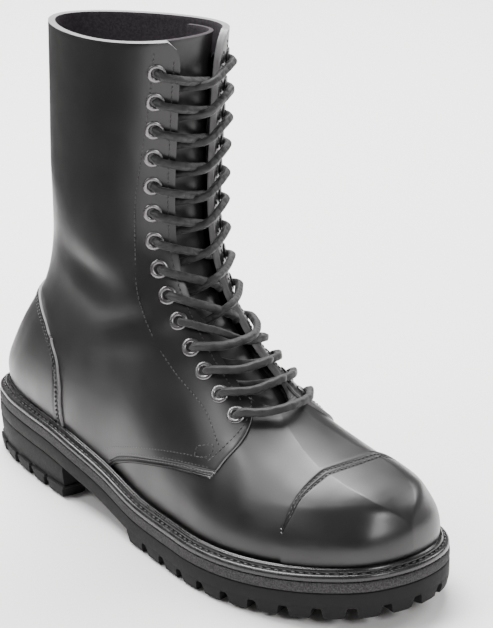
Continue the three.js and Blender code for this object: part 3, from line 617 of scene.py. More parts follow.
def leather_grain_group():
    """Fine pores and soft rolls of smooth leather: a height and a tone."""
    group, start, end = new_group(
        "Leather grain",
        [("Pores", "NodeSocketFloat", 900.0), ("Rolls", "NodeSocketFloat", 38.0)],
        [("Height", "NodeSocketFloat"), ("Tone", "NodeSocketFloat")],
    )
    place = add_node(group, "ShaderNodeTexCoord")
    pores = add_node(group, "ShaderNodeTexVoronoi", feature="SMOOTH_F1")
    rolls = add_node(group, "ShaderNodeTexNoise", Detail=4.0, Roughness=0.55)
    joint = add_node(group, "ShaderNodeMath", operation="MULTIPLY_ADD")
    joint.inputs[1].default_value = 0.35
    links = group.links
    links.new(place.outputs["Object"], pores.inputs["Vector"])
    links.new(place.outputs["Object"], rolls.inputs["Vector"])
    links.new(start.outputs["Pores"], pores.inputs["Scale"])
    links.new(start.outputs["Rolls"], rolls.inputs["Scale"])
    links.new(pores.outputs["Distance"], joint.inputs[0])
    links.new(rolls.outputs["Fac"], joint.inputs[2])
    links.new(joint.outputs[0], end.inputs["Height"])
    links.new(rolls.outputs["Fac"], end.inputs["Tone"])
    return group


def speckle_group():
    """Pale and dark grains pressed into rubber: a mask and a height."""
    group, start, end = new_group(
        "Speckle",
        [("Scale", "NodeSocketFloat", 900.0)],
        [("Mask", "NodeSocketFloat"), ("Height", "NodeSocketFloat")],
    )
    place = add_node(group, "ShaderNodeTexCoord")
    grain = add_node(group, "ShaderNodeTexNoise", Detail=2.0, Roughness=0.8)
    ramp = add_node(group, "ShaderNodeValToRGB")
    ramp.color_ramp.elements[0].position = 0.40
    ramp.color_ramp.elements[1].position = 0.64
    links = group.links
    links.new(place.outputs["Object"], grain.inputs["Vector"])
    links.new(start.outputs["Scale"], grain.inputs["Scale"])
    links.new(grain.outputs["Fac"], ramp.inputs["Fac"])
    links.new(ramp.outputs["Color"], end.inputs["Mask"])
    links.new(grain.outputs["Fac"], end.inputs["Height"])
    return group


def braid_group():
    """Crossing strands of a woven cord, from its own UV map: a height."""
    group, start, end = new_group(
        "Braid",
        [("Strands", "NodeSocketFloat", 10.0), ("Steps", "NodeSocketFloat", 900.0)],
        [("Height", "NodeSocketFloat")],
    )
    uv = add_node(group, "ShaderNodeUVMap", uv_map="UVMap")
    split = add_node(group, "ShaderNodeSeparateXYZ")
    links = group.links
    links.new(uv.outputs["UV"], split.inputs[0])
    waves = []
    for sign in (1, -1):
        around = add_node(group, "ShaderNodeMath", operation="MULTIPLY")
        along = add_node(group, "ShaderNodeMath", operation="MULTIPLY")
        both = add_node(group, "ShaderNodeMath", operation="ADD" if sign > 0 else "SUBTRACT")
        wave = add_node(group, "ShaderNodeMath", operation="SINE")
        links.new(split.outputs["X"], around.inputs[0])
        links.new(start.outputs["Steps"], around.inputs[1])
        links.new(split.outputs["Y"], along.inputs[0])
        links.new(start.outputs["Strands"], along.inputs[1])
        links.new(around.outputs[0], both.inputs[0])
        links.new(along.outputs[0], both.inputs[1])
        links.new(both.outputs[0], wave.inputs[0])
        waves.append(wave)
    top = add_node(group, "ShaderNodeMath", operation="MAXIMUM")
    links.new(waves[0].outputs[0], top.inputs[0])
    links.new(waves[1].outputs[0], top.inputs[1])
    links.new(top.outputs[0], end.inputs["Height"])
    return group


groups = {}


def shared_group(make):
    if make not in groups:
        groups[make] = make()
    return groups[make]


def base_material(name, colour, roughness, **shader_values):
    material = bpy.data.materials.new(name)
    material.use_nodes = True
    tree = material.node_tree
    shader = tree.nodes["Principled BSDF"]
    shader.inputs["Base Color"].default_value = (*colour, 1)
    shader.inputs["Roughness"].default_value = roughness
    for key, value in shader_values.items():
        shader.inputs[key.replace("_", " ")].default_value = value
    return material, tree, shader


def put_group(tree, make, **values):
    node = tree.nodes.new("ShaderNodeGroup")
    node.node_tree = shared_group(make)
    for key, value in values.items():
        node.inputs[key].default_value = value
    return node


def bump(tree, shader, height, strength, distance):
    node = add_node(tree, "ShaderNodeBump", Strength=strength, Distance=distance * MM)
    tree.links.new(height, node.inputs["Height"])
    tree.links.new(node.outputs["Normal"], shader.inputs["Normal"])


def spread(tree, source, low, high, target):
    """Feeds a socket with a value that runs from low to high with the source."""
    node = add_node(tree, "ShaderNodeMapRange")
    node.inputs["From Min"].default_value = 0.3
    node.inputs["From Max"].default_value = 0.7
    node.inputs["To Min"].default_value = low
    node.inputs["To Max"].default_value = high
    tree.links.new(source, node.inputs["Value"])
    tree.links.new(node.outputs["Result"], target)


def mix_colours(tree, shader, mask, first, second):
    node = add_node(tree, "ShaderNodeMix", data_type="RGBA")
    node.inputs[6].default_value = (*first, 1)
    node.inputs[7].default_value = (*second, 1)
    tree.links.new(mask, node.inputs[0])
    tree.links.new(node.outputs[2], shader.inputs["Base Color"])


def tint(colour, share):
    """A colour made darker or lighter."""
    return tuple(share * part for part in colour)


def leather_finish(name, colour, roughness, strength=0.25, pores=900.0, rolls=38.0):
    material, tree, shader = base_material(name, colour, roughness, Specular_IOR_Level=0.5)
    grain = put_group(tree, leather_grain_group, Pores=pores, Rolls=rolls)
    bump(tree, shader, grain.outputs["Height"], strength, 0.12)
    spread(tree, grain.outputs["Tone"], roughness - 0.06, roughness + 0.08, shader.inputs["Roughness"])
    mix_colours(tree, shader, grain.outputs["Tone"], tint(colour, 0.8), tint(colour, 1.25))
    return material


def speckled_finish(name, dark, light, roughness, scale, strength):
    material, tree, shader = base_material(name, dark, roughness, Specular_IOR_Level=0.2)
    speckle = put_group(tree, speckle_group, Scale=scale)
    mix_colours(tree, shader, speckle.outputs["Mask"], dark, light)
    spread(tree, speckle.outputs["Height"], roughness - 0.1, roughness + 0.1, shader.inputs["Roughness"])
    bump(tree, shader, speckle.outputs["Height"], strength, 0.3)
    return material


def metal_finish(name, colour):
    material, tree, shader = base_material(name, colour, 0.3, Metallic=0.9)
    grain = put_group(tree, leather_grain_group, Pores=400.0, Rolls=260.0)
    spread(tree, grain.outputs["Tone"], 0.22, 0.42, shader.inputs["Roughness"])
    return material


def cord_finish(name, colour):
    material, tree, shader = base_material(name, colour, 0.62, Sheen_Weight=0.1)
    braid = put_group(tree, braid_group)
    bump(tree, shader, braid.outputs["Height"], 0.7, 0.25)
    # Painted shade and highlight: the lace is darker in the braid's grooves and lighter on its crests
    mix_colours(tree, shader, braid.outputs["Height"], tint(colour, 0.6), tint(colour, 1.7))
    return material


def finish(name):
    """A finish of this boot, made when it is first asked for."""
    if name in bpy.data.materials:
        return bpy.data.materials[name]
    own = bpy.context.scene.boot_colours
    makers = {
        "upper_leather_black": (leather_finish, own.leather, 0.34),
        # The cut edges' grey: partly the raw leather's own edge tone, partly a painted highlight standing in
        # for glints along the rims
        "cut_edge_grey": (leather_finish, own.cut_edge, 0.5, 0.5, 1500.0, 300.0),
        "lining_suede": (speckled_finish, tint(own.lining, 0.6), own.lining, 0.9, 700.0, 0.6),
        "tongue_leather_black": (leather_finish, own.leather, 0.42, 0.4, 800.0, 60.0),
        # The welt's leather is 1.6 times lighter than the upper's: a painted highlight for the bright bead
        "welt_leather_black": (leather_finish, tint(own.leather, 1.6), 0.26, 0.4, 1200.0, 150.0),
        "midsole_speckled": (speckled_finish, tint(own.midsole, 0.25), own.midsole, 0.8, 1300.0, 0.9),
        "sole_rubber_charcoal": (
            speckled_finish, tint(own.rubber, 0.8), tint(own.rubber, 1.3), 0.72, 500.0, 0.3),
        "insole_suede": (speckled_finish, tint(own.lining, 0.5), tint(own.lining, 0.8), 0.92, 600.0, 0.5),
        "eyelet_gunmetal": (metal_finish, own.metal),
        "lace_black": (cord_finish, own.lace),
        "thread_black": (leather_finish, own.thread, 0.4, 0.6, 3000.0, 900.0),
    }
    make, *values = makers[name]
    return make(name, *values)


# Panels of the upper
throat_level = float(np.interp(0.475, ring_values["front"], fine_levels))


def level_of_front(height_share):
    """The level whose front point is nearest a share of the foot's front line."""
    target = height_share * SOLE_LENGTH
    foot = fine_levels < throat_level
    xs = ring_fronts[foot, 0]
    return float(np.interp(-target, -xs, fine_levels[foot]))


VAMP_THROAT = level_of_front(0.716)
QUARTER_MEET = level_of_front(0.724)
THROAT_ROUND = 0.035
COLLAR_CORNER = table("below back", [(0.060, 0.0), (0.030, 0.4), (0.012, 2.2), (0.000, 6.5)])


def throat_half(level):
    """Half the throat's width at a level, round at its end on the vamp and at the collar's corners."""
    past = np.clip((level - VAMP_THROAT) / THROAT_ROUND, 0, 1)
    corner = np.interp(1 - level, COLLAR_CORNER["below"][::-1], COLLAR_CORNER["back"][::-1])
    return THROAT_GAP / 2 * np.sqrt(past) + corner


def facing_edge(side):
    """The front edge of a quarter, from its lower tip up the throat to the collar's corner."""
    tip = locate(side, *side_points(QUARTER_TIP))
    levels = np.concatenate([[QUARTER_MEET + 0.012], np.linspace(QUARTER_MEET + 0.03, 0.94, 26)])
    halves = THROAT_GAP / 2 * np.ones(levels.shape)
    halves[0] += 1.6
    run = np.stack([share_at_y(side, levels, side_y(side, halves)), levels], axis=1)
    corner_levels = 1 - COLLAR_CORNER["below"][1:]
    corner_halves = THROAT_GAP / 2 + COLLAR_CORNER["back"][1:]
    corner = np.stack([share_at_y(side, corner_levels, side_y(side, corner_halves)), corner_levels], axis=1)
    return Line(scale_map(np.vstack([tip, run, corner])))


# A level and a share as lengths, so that a boundary is divided evenly
MAP = np.array([130.0, 260.0])


def scale_map(pairs):
    return np.asarray(pairs) * MAP


def grooves(distance, rows, depth=0.55, width=0.75):
    """How far a panel sinks under its rows of stitches, at a distance from its edge."""
    return -depth * sum(np.exp(-(((distance - row) / width) ** 2)) for row in rows)


def quad_place(side, bottom, top, back, front, offset, seam=None):
    """Fills a four-sided panel between its boundary lines. seam gives the grooves, from the shares
    across and up after the rows are drawn closer to the lower edge."""

    def place(across, up):
        if seam:
            across, up = seam["spacing"](across, up)
            sunk = seam["sink"](across, up)
        else:
            sunk = 0.0
        a, b = across[:, None], up[:, None]
        edges = (1 - b) * bottom.at(across) + b * top.at(across) + (1 - a) * back.at(up) + a * front.at(up)
        corners = (
            (1 - a) * (1 - b) * bottom.at(0.0) + a * (1 - b) * bottom.at(1.0)
            + (1 - a) * b * top.at(0.0) + a * b * top.at(1.0)
        )
        share, level = ((edges - corners) / MAP).T
        share = np.clip(share, 0, 1)
        return skin(turn_of(side, share), level, offset + sunk)

    return place


QUARTER_EDGE = table("along up", [
    (0.412, 0.118), (0.440, 0.138), (0.490, 0.162), (0.551, 0.184), (0.612, 0.201),
    (0.668, 0.211), (0.692, 0.214),
])
QUARTER_TIP = table("along up", [(0.692, 0.214), (0.706, 0.250)])
COUNTER_TOP = table("along up", [(0.153, 0.381), (0.205, 0.349), (0.241, 0.318)])
COUNTER_PEAK = 0.402
COUNTER_FRONT = table("along up", [
    (0.284, 0.150), (0.283, 0.203), (0.278, 0.248), (0.264, 0.288), (0.241, 0.318),
])
SEAM_FOOT, SEAM_HEAD = 0.857, 0.828
SEAM_LOW, SEAM_RISE = 0.06, 0.34
NOMINAL_COLLAR = 252.0


def side_points(rows):
    return rows["along"] * SOLE_LENGTH, rows["up"] * NOMINAL_COLLAR


# How far a quarter's rows rise over its lower edge, and a counter's columns run along its side
QUARTER_RISE = 215.0
COUNTER_RUN = 82.0


def quarter_place(side, offset):
    edge = locate(side, *side_points(QUARTER_EDGE))
    edge[0, 1] = 0
    start = edge[0, 0]
    bottom = Chain(Line(scale_map([[0, 0], [start / 2, 0], [start, 0]])), Line(scale_map(edge)))
    front = facing_edge(side)
    last_share = front.points[-1, 0] / MAP[0]
    top = Line(scale_map([[0, 1], [last_share / 2, 1], [last_share, 1]]))
    back = Line(scale_map([[0, 0], [0, 0.5], [0, 1]]))
    start = bottom.ends[0] / bottom.ends[1]
    seam = {
        "spacing": lambda across, up: (across, up**1.7),
        "sink": lambda across, up: (
            grooves(up * QUARTER_RISE, QUARTER_STITCHES) * smooth(start, start + 0.03, across)
        ),
    }
    return quad_place(side, bottom, top, back, front, offset, seam)


def counter_top(side):
    """The counter's upper edge from the middle of the back to its front corner."""
    back_level = float(np.interp(COUNTER_PEAK * NOMINAL_COLLAR, ring_backs[:, 1], fine_levels))
    return Line(scale_map(np.vstack([[[0, back_level]], locate(side, *side_points(COUNTER_TOP))])))


def lowered(side, pairs, distance):
    """Places moved down the last by a distance."""
    share, level = np.array(pairs).T
    step = on_side(side, share, level + 0.01) - on_side(side, share, level - 0.01)
    return np.stack([share, level - distance * 0.02 / np.linalg.norm(step, axis=1)], axis=1)


def counter_place(side, offset):
    front = locate(side, *side_points(COUNTER_FRONT))
    front[0, 1] = 0
    top = counter_top(side)
    back_level = top.points[0, 1] / MAP[1]
    bottom = Line(scale_map([[0, 0], [front[0, 0] / 2, 0], [front[0, 0], 0]]))
    back = Line(scale_map([[0, 0], [0, back_level / 2], [0, back_level]]))
    seam = {
        "spacing": lambda across, up: (1 - (1 - across) ** 1.5, up),
        "sink": lambda across, up: grooves((1 - across) * COUNTER_RUN, COUNTER_STITCHES, 0.4),
    }
    return quad_place(side, bottom, top, back, Line(scale_map(front)), offset, seam)


def add_side_panel(bm, make_place, offset, columns, rows):
    """Adds a panel on both sides, joined where they meet at the back."""
    for side in (OUTER, INNER):
        place = make_place(side, offset)
        if side == OUTER:
            add_patch(bm, columns, rows, place)
        else:
            add_patch(bm, columns, rows, lambda across, up: place(1 - across, up))
    bmesh.ops.remove_doubles(bm, verts=bm.verts, dist=PANEL_WELD)


# How far the toe cap's surface runs for each whole level
CAP_RISE = 290.0


def ahead_of_seam(points):
    """Whether points are on the toe cap's side of its seam."""
    rise = (points[:, 2] / NOMINAL_COLLAR - SEAM_LOW) / SEAM_RISE
    return points[:, 0] > (SEAM_FOOT + (SEAM_HEAD - SEAM_FOOT) * rise) * SOLE_LENGTH


def toe_seam_level(turns):
    """The level of the toe cap's seam for each turn round the last."""
    low, high = np.zeros(turns.shape), np.full(turns.shape, 0.45)
    return halve(low, high, lambda level: ~ahead_of_seam(last(turns, level)))


def toe_cap_turns():
    """The turns where the toe cap's seam meets the welt on the two sides."""
    turns = np.linspace(0.4, 1.6, 2401)
    inside = turns[ahead_of_seam(last(turns, np.zeros(turns.shape)))]
    return inside[0], inside[-1]


# Operators, one for each piece or group of like pieces
class BootOperator:
    bl_options = {"REGISTER"}

    def execute(self, context):
        self.build(context.scene.boot_sizes)
        return {"FINISHED"}


class BOOT_OT_upper(BootOperator, bpy.types.Operator):
    """Makes the upper's hollow body: vamp outside and lining inside, open at collar, throat and welt"""

    bl_idname = "boot.upper"
    bl_label = "Upper"

    def build(self, sizes):
        def place(across, up):
            level, row = np.unique(np.round(up, 6), return_inverse=True)
            half = throat_half(level)
            reach = []
            for side in (OUTER, INNER):
                edge = share_at_y(side, level, side_y(side, half))
                reach.append(np.where(level <= VAMP_THROAT, 1, edge)[row])
            way = 2 * across - 1
            turn = np.where(way >= 0, way * reach[OUTER], way * reach[INNER])
            return skin(turn, level[row], 0.0)

        bm = new_bmesh()
        add_patch(bm, 200, 150, place)
        bmesh.ops.remove_doubles(bm, verts=bm.verts, dist=PANEL_WELD)
        # The rim's grey cut-edge finish is partly the raw edge's tone and partly a painted highlight along
        # the cut edges
        names = ("upper_leather_black", "lining_suede", "cut_edge_grey")
        piece = make_piece(bm, "upper_body", [finish(n) for n in names], ["upper"])
        give_wall(piece, WALL, inner=1, rim=2)


def make_panel(bm, name, wall=PANEL_WALL):
    """Turns a panel's skin into a piece of leather with pale cut edges, their grey partly the raw edge's own
    tone and partly a painted highlight.
    """
    materials = [finish("upper_leather_black"), finish("cut_edge_grey")]
    give_wall(make_piece(bm, name, materials), wall)


class BOOT_OT_overlays(BootOperator, bpy.types.Operator):
    """Makes the panels sewn on the upper: quarters, toe cap, heel counter and back strip"""

    bl_idname = "boot.overlays"
    bl_label = "Overlays"

    def build(self, sizes):
        bm = new_bmesh()
        add_side_panel(bm, quarter_place, OVERLAY, 110, 140)
        make_panel(bm, "quarters")

        bm = new_bmesh()
        add_side_panel(bm, counter_place, 2 * OVERLAY, 90, 60)
        make_panel(bm, "heel_counter")

        first, final = toe_cap_turns()

        def cap_place(across, up):
            turn = first + (final - first) * (1 - np.cos(np.pi * across)) / 2
            up = 1 - (1 - up) ** 1.6
            seam = toe_seam_level(turn)
            sunk = grooves((1 - up) * seam * CAP_RISE, CAP_STITCHES)
            return skin(turn, up * seam, OVERLAY + sunk)

        bm = new_bmesh()
        add_patch(bm, 130, 90, cap_place)
        make_panel(bm, "toe_cap")

        low = float(np.interp(0.39 * NOMINAL_COLLAR, ring_backs[:, 1], fine_levels))

        def stay_place(across, up):
            rows, row = np.unique(np.round(up, 6), return_inverse=True)
            level = low + (1 - low) * rows
            half = sizes.back_strip / MM / 2 * (1.2 - 0.4 * rows)
            reach = share_at_y(OUTER, level, -half, 0.0, 0.4)[row]
            return skin((2 * across - 1) * reach, level[row], STRIP_LIFT)

        bm = new_bmesh()
        add_patch(bm, 16, 90, stay_place)
        make_panel(bm, "back_strip", 0.7 * OVERLAY)


class BOOT_OT_tongue(BootOperator, bpy.types.Operator):
    """Makes the tongue, under the laces and up to the collar"""

    bl_idname = "boot.tongue"
    bl_label = "Tongue"

    def build(self, sizes):
        low = level_of_front(0.775)

        def place(across, up):
            level = low + (0.994 - low) * up
            way = 2 * across - 1
            wide = 0.42 * (0.45 + 0.55 * smooth(0, 0.35, up))
            turn = 1 + way * wide
            depth = WALL + 4.0 + 0.5 * np.sin(34 * up) * (1 - way**2) + 1.2 * way**4
            return skin(turn, level, -depth)

        bm = new_bmesh()
        add_patch(bm, 70, 120, place)
        names = ("tongue_leather_black", "lining_suede")
        piece = make_piece(bm, "tongue_leather", [finish(n) for n in names], ["tongue"])
        give_wall(piece, TONGUE_WALL, inner=1)


class BOOT_OT_eyelets(BootOperator, bpy.types.Operator):
    """Makes the metal eyelets, a rolled flange and a barrel each"""

    bl_idname = "boot.eyelets"
    bl_label = "Eyelets"

    def build(self, sizes):
        outer, bore = EYELET_FLANGE / 2, EYELET_BORE / 2
        profile = [
            (bore, -3.0), (bore + 0.45, -3.0), (bore + 0.45, 0.0), (outer - 0.15, 0.0),
            (outer, 0.25), (outer - 0.35, 0.62), (outer - 1.0, 0.78), (bore + 0.75, 0.72),
            (bore + 0.2, 0.45), (bore, 0.0),
        ]
        bm = new_bmesh()
        for place in eyelet_places().values():
            verts = [bm.verts.new((r * MM, 0, z * MM)) for r, z in profile]
            edges = [bm.edges.new(pair) for pair in zip(verts, verts[1:] + verts[:1])]
            bmesh.ops.spin(
                bm, geom=verts + edges, cent=(0, 0, 0), axis=(0, 0, 1),
                angle=math.tau, steps=28, use_merge=True,
            )
            ring = list({v for v in bm.verts if v.is_valid and not v.tag})
            bmesh.ops.transform(bm, matrix=place["matrix"], verts=ring)
            for vert in bm.verts:
                vert.tag = True
        bmesh.ops.remove_doubles(bm, verts=bm.verts, dist=TUBE_WELD)
        bmesh.ops.recalc_face_normals(bm, faces=bm.faces)
        names = [f"eyelet_{side}_{row + 1:02d}" for side in ("outer", "inner") for row in range(EYELET_ROWS)]
        make_piece(bm, "eyelets", [finish("eyelet_gunmetal")], names, sharp=50)


eyelet_store = {}


def eyelet_places():
    """Each eyelet's turn, level, place and upright frame, from where the frame has it."""
    places = eyelet_store
    if places:
        return places
    for side, word in ((OUTER, "outer"), (INNER, "inner")):
        for row in range(EYELET_ROWS):
            low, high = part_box(f"eyelet_{word}_{row + 1:02d}")
            centre = np.array((low + high) / 2) / MM - boot_shift
            normal = np.zeros(3)
            for _ in range(3):
                spot = centre - 0.8 * normal
                share, level = locate(side, spot[0], spot[2])[0]
                turn = turn_of(side, share)
                normal = last_normal(np.array(turn), np.array(level))
            seat = skin(np.array(turn), np.array(level), OVERLAY + 0.05)
            z = Vector(normal)
            x = z.orthogonal().normalized()
            turned = Matrix((x, z.cross(x), z)).transposed().to_4x4()
            matrix = Matrix.Translation(Vector(to_frame(seat))) @ turned
            places[side, row] = {"turn": turn, "level": level, "matrix": matrix}
    return places


# The lace's way through the eyelets, one cord. A letter is the side, o outer and i inner,
# with the row from the collar, and the word says where the cord reaches that eyelet
LACE_ORDER = [
    ("i2", "in"), ("o3", "in"), ("i4", "in"), ("o5", "in"), ("i6", "in"), ("o7", "in"), ("i8", "in"),
    ("o9", "in"), ("i10", "in"), ("o11", "out"), ("i12", "out"), ("o13", "out"), ("i14", "in"),
    ("o14", "out"), ("i13", "in"), ("o12", "in"), ("i11", "in"), ("o10", "out"), ("i9", "out"),
    ("o8", "out"), ("i7", "out"), ("o6", "out"), ("i5", "out"), ("o4", "out"), ("i3", "out"),
    ("o2", "out"), ("i1", "out"),
]
LACE_UNDER = -4.2


def lace_path(radius):
    """The lace's middle line through all eyelets."""
    places = eyelet_places()
    over = OVERLAY + radius + 0.35

    def spot(name):
        found = places[OUTER if name[0] == "o" else INNER, int(name[1:]) - 1]
        return np.array([found["turn"], found["level"]])

    points = []

    def put(pair, offset):
        points.append(skin(pair[0], pair[1], offset))

    here, leaves = "o1", "out"
    start = spot(here)
    put(start + (0.02, -0.035), LACE_UNDER)
    put(start, LACE_UNDER + 0.6)
    for there, arrives in LACE_ORDER:
        a, b = spot(here), spot(there)
        downwards = int(there[1:]) >= int(here[1:])
        bar = here[1:] == there[1:]
        from_outer = here[0] == "o"
        upper_cord = bar or (from_outer != downwards)
        middle = over + 1.4 if upper_cord else over - 3.2
        if leaves == "in" and arrives == "in":
            middle = -0.4 if upper_cord else -4.2
        sign = {"out": over, "in": LACE_UNDER}
        toward = b - a
        if leaves == "out":
            put(a + 0.015 * toward, 1.2)
            put(a + 0.06 * toward, over + 0.7)
            put(a + 0.15 * toward, over + 0.45)
        else:
            put(a + 0.04 * toward, LACE_UNDER)
        put(a + 0.25 * toward, sign[leaves] + (0.2 if leaves == "out" else 0))
        put(a + 0.5 * toward, middle)
        put(a + 0.75 * toward, sign[arrives] + (0.2 if arrives == "out" else 0))
        if arrives == "out":
            put(a + 0.85 * toward, over + 0.45)
            put(a + 0.94 * toward, over + 0.7)
            put(a + 0.985 * toward, 1.2)
        else:
            put(a + 0.96 * toward, LACE_UNDER)
        here = there
        leaves = "in" if arrives == "out" else "out"
    put(spot(here), LACE_UNDER + 0.6)
    put(spot(here) + (0.02, -0.035), LACE_UNDER)
    return Line(points)


class BOOT_OT_lace(BootOperator, bpy.types.Operator):
    """Runs one lace through all eyelets, crossing from side to side"""

    bl_idname = "boot.lace"
    bl_label = "Lace"

    def build(self, sizes):
        radius = sizes.lace_diameter / MM / 2
        path = lace_path(radius)
        count = int(path.length / 1.3)
        around = 16
        middle = path.at(np.linspace(0, 1, count + 1))
        tangents = np.gradient(middle, axis=0)
        tangents /= np.linalg.norm(tangents, axis=1, keepdims=True)
        sideways = np.zeros_like(tangents)
        seed = np.cross(tangents[0], (0, 0, 1))
        for i, tangent in enumerate(tangents):
            seed = seed - tangent * seed.dot(tangent)
            seed /= np.linalg.norm(seed)
            sideways[i] = seed
        upwards = np.cross(tangents, sideways)

        def place(across, up):
            i = np.rint(across * count).astype(int)
            angle = math.tau * (np.rint(up * around) % around) / around
            ridged = radius * (0.92 + 0.08 * np.cos(4 * angle))
            swing = np.cos(angle)[:, None] * sideways[i] + np.sin(angle)[:, None] * upwards[i]
            return middle[i] + ridged[:, None] * swing

        bm = new_bmesh()
        add_patch(bm, count, around, place)
        uv_layer = bm.loops.layers.uv.active
        for face in bm.faces:
            for loop in face.loops:
                u, v = loop[uv_layer].uv
                loop[uv_layer].uv = (u * path.length * MM, v)
        bmesh.ops.remove_doubles(bm, verts=bm.verts, dist=TUBE_WELD)
        fill_holes(bm)
        bmesh.ops.recalc_face_normals(bm, faces=bm.faces)
        names = [f"lace_{row + 1:02d}" for row in range(EYELET_ROWS)]
        make_piece(bm, "lace", [finish("lace_black")], names)


# Stitches
def stitch_shape():
    """The corners and faces of one rounded stitch of unit size."""
    bm = bmesh.new()
    bmesh.ops.create_uvsphere(bm, u_segments=6, v_segments=4, radius=0.5)
    corners = [vert.co.copy() for vert in bm.verts]
    faces = [[vert.index for vert in face.verts] for face in bm.faces]
    bm.free()
    return corners, faces


def add_stitches(bm, points, normals, pitch, thick):
    """Adds a row of stitches along a line of points on the surface."""
    corners, faces = stitch_shape()
    line = Line(points)
    tilt = Line(np.asarray(normals) * 100)
    count = max(int(line.length / pitch), 1)
    shares = (np.arange(count) + 0.5) / count
    places = line.at(shares)
    ahead, behind = line.at(np.minimum(shares + 0.002, 1)), line.at(np.maximum(shares - 0.002, 0))
    for place, a, b, up in zip(places, ahead, behind, tilt.at(shares)):
        along = Vector(a - b).normalized()
        up = Vector(up).normalized()
        side = up.cross(along).normalized()
        up = along.cross(side)
        turned = Matrix((along, side, up)).transposed().to_4x4()
        size = Matrix.Diagonal((0.74 * pitch * MM, thick * MM, 0.9 * thick * MM, 1))
        matrix = Matrix.Translation(Vector(to_frame(place))) @ turned @ size
        verts = [bm.verts.new(matrix @ corner) for corner in corners]
        for face in faces:
            bm.faces.new([verts[i] for i in face])


def add_surface_row(bm, side, pairs, offset, pitch, thick):
    """Adds stitches along places given as shares and levels on one side."""
    pairs = np.asarray(pairs)
    turn = turn_of(side, pairs[:, 0])
    add_stitches(bm, skin(turn, pairs[:, 1], offset), last_normal(turn, pairs[:, 1]), pitch, thick)


def moved_inwards(rows, distance):
    """A line in the side view moved to its left by a distance, as x and z."""
    x, z = side_points(rows)
    line = Line(np.stack([x, z], axis=1))
    shares = np.linspace(0.01, 0.99, 30)
    along = line.at(shares + 0.01) - line.at(shares - 0.01)
    along /= np.linalg.norm(along, axis=1, keepdims=True)
    moved = line.at(shares) + distance * np.stack([-along[:, 1], along[:, 0]], axis=1)
    return moved[:, 0], moved[:, 1]


# The row of stitches behind the eyelets, from the collar down to the quarter's tip
STITCH_LINE = table("x z", [
    (155.9, 246.6), (152.0, 222.0), (146.5, 188.4), (144.0, 172.3), (143.8, 146.2),
    (147.0, 124.8), (157.3, 107.6), (174.6, 92.7), (197.6, 79.4), (214.0, 67.0),
])

# The bar-tack behind the quarter's tip, and the row that turns round that tip, as x and z
BAR_TACK = [203, 211, 212, 204, 203], [64.5, 66.5, 62.5, 60.5, 64.5]
QUARTER_TURN = [211.5, 217.0, 218.5, 216.0, 212.5], [86.0, 80.0, 73.0, 66.0, 59.5]


class BOOT_OT_stitching(BootOperator, bpy.types.Operator):
    """Sews the panels: rows along the facings, quarters, counter, back strip and toe cap"""

    bl_idname = "boot.stitching"
    bl_label = "Stitching"

    def build(self, sizes):
        pitch, thick = sizes.stitch_pitch / MM, sizes.stitch_thickness / MM
        bm = new_bmesh()
        for side in (OUTER, INNER):
            rows = [locate(side, STITCH_LINE["x"], STITCH_LINE["z"])]
            levels = np.linspace(QUARTER_MEET + 0.03, 0.975, 60)
            facing = share_at_y(side, levels, side_y(side, THROAT_GAP / 2 + FACING_STITCHES))
            rows.append(np.stack([facing, levels], axis=1))
            for inwards in QUARTER_STITCHES:
                rows.append(locate(side, *moved_inwards(QUARTER_EDGE, inwards)))
            for row in rows[:2]:
                add_surface_row(bm, side, row, OVERLAY + THREAD_LIFT, pitch, thick)
            for row in rows[2:]:
                add_surface_row(bm, side, row, OVERLAY - THREAD_SINK, pitch, thick)
            for inwards in COUNTER_STITCHES:
                counter = locate(side, *moved_inwards(COUNTER_FRONT, inwards))
                add_surface_row(bm, side, counter, 2 * OVERLAY + THREAD_LIFT, pitch, thick)
                top = counter_top(side).at(np.linspace(0, 0.97, 30)) / MAP
                top = lowered(side, top, inwards)
                add_surface_row(bm, side, top, 2 * OVERLAY + THREAD_LIFT, pitch, thick)
            levels = np.linspace(0.52, 0.99, 50)
            half = -STRIP_STITCHES if side == OUTER else STRIP_STITCHES
            strip = np.stack([share_at_y(side, levels, half, 0.0, 0.4), levels], axis=1)
            add_surface_row(bm, side, strip, STRIP_LIFT + THREAD_LIFT, pitch, thick)
        first, final = toe_cap_turns()
        for inwards in CAP_STITCHES:
            turns = np.linspace(first + 0.012, final - 0.012, 120)
            levels = np.maximum(toe_seam_level(turns) - inwards / CAP_RISE, 0.0)
            seat = skin(turns, levels, OVERLAY - THREAD_SINK)
            add_stitches(bm, seat, last_normal(turns, levels), pitch, thick)
        for side in (OUTER, INNER):
            for xs, zs in (BAR_TACK, QUARTER_TURN):
                add_surface_row(bm, side, locate(side, xs, zs), OVERLAY + THREAD_LIFT, pitch, thick)
        make_piece(bm, "stitching", [finish("thread_black")])


def ring_at(shares, inset, height):
    """A ring through shares of the sole's edge, at an inset and a height for each x."""
    flat = edge_at(shares, inset)
    return np.column_stack([flat, height(flat[:, 0])])


def add_layer(bm, section, base, capped=True):
    """Adds a layer of the sole from its section, as insets and heights over its base."""
    shares = np.arange(EDGE_STEPS // 2) / (EDGE_STEPS // 2)
    rings = [ring_at(shares, inset, lambda x: base(x) + up) for inset, up in section]
    add_tower(bm, rings, capped)


def welt_base(x):
    return midsole_top(x) + GAP


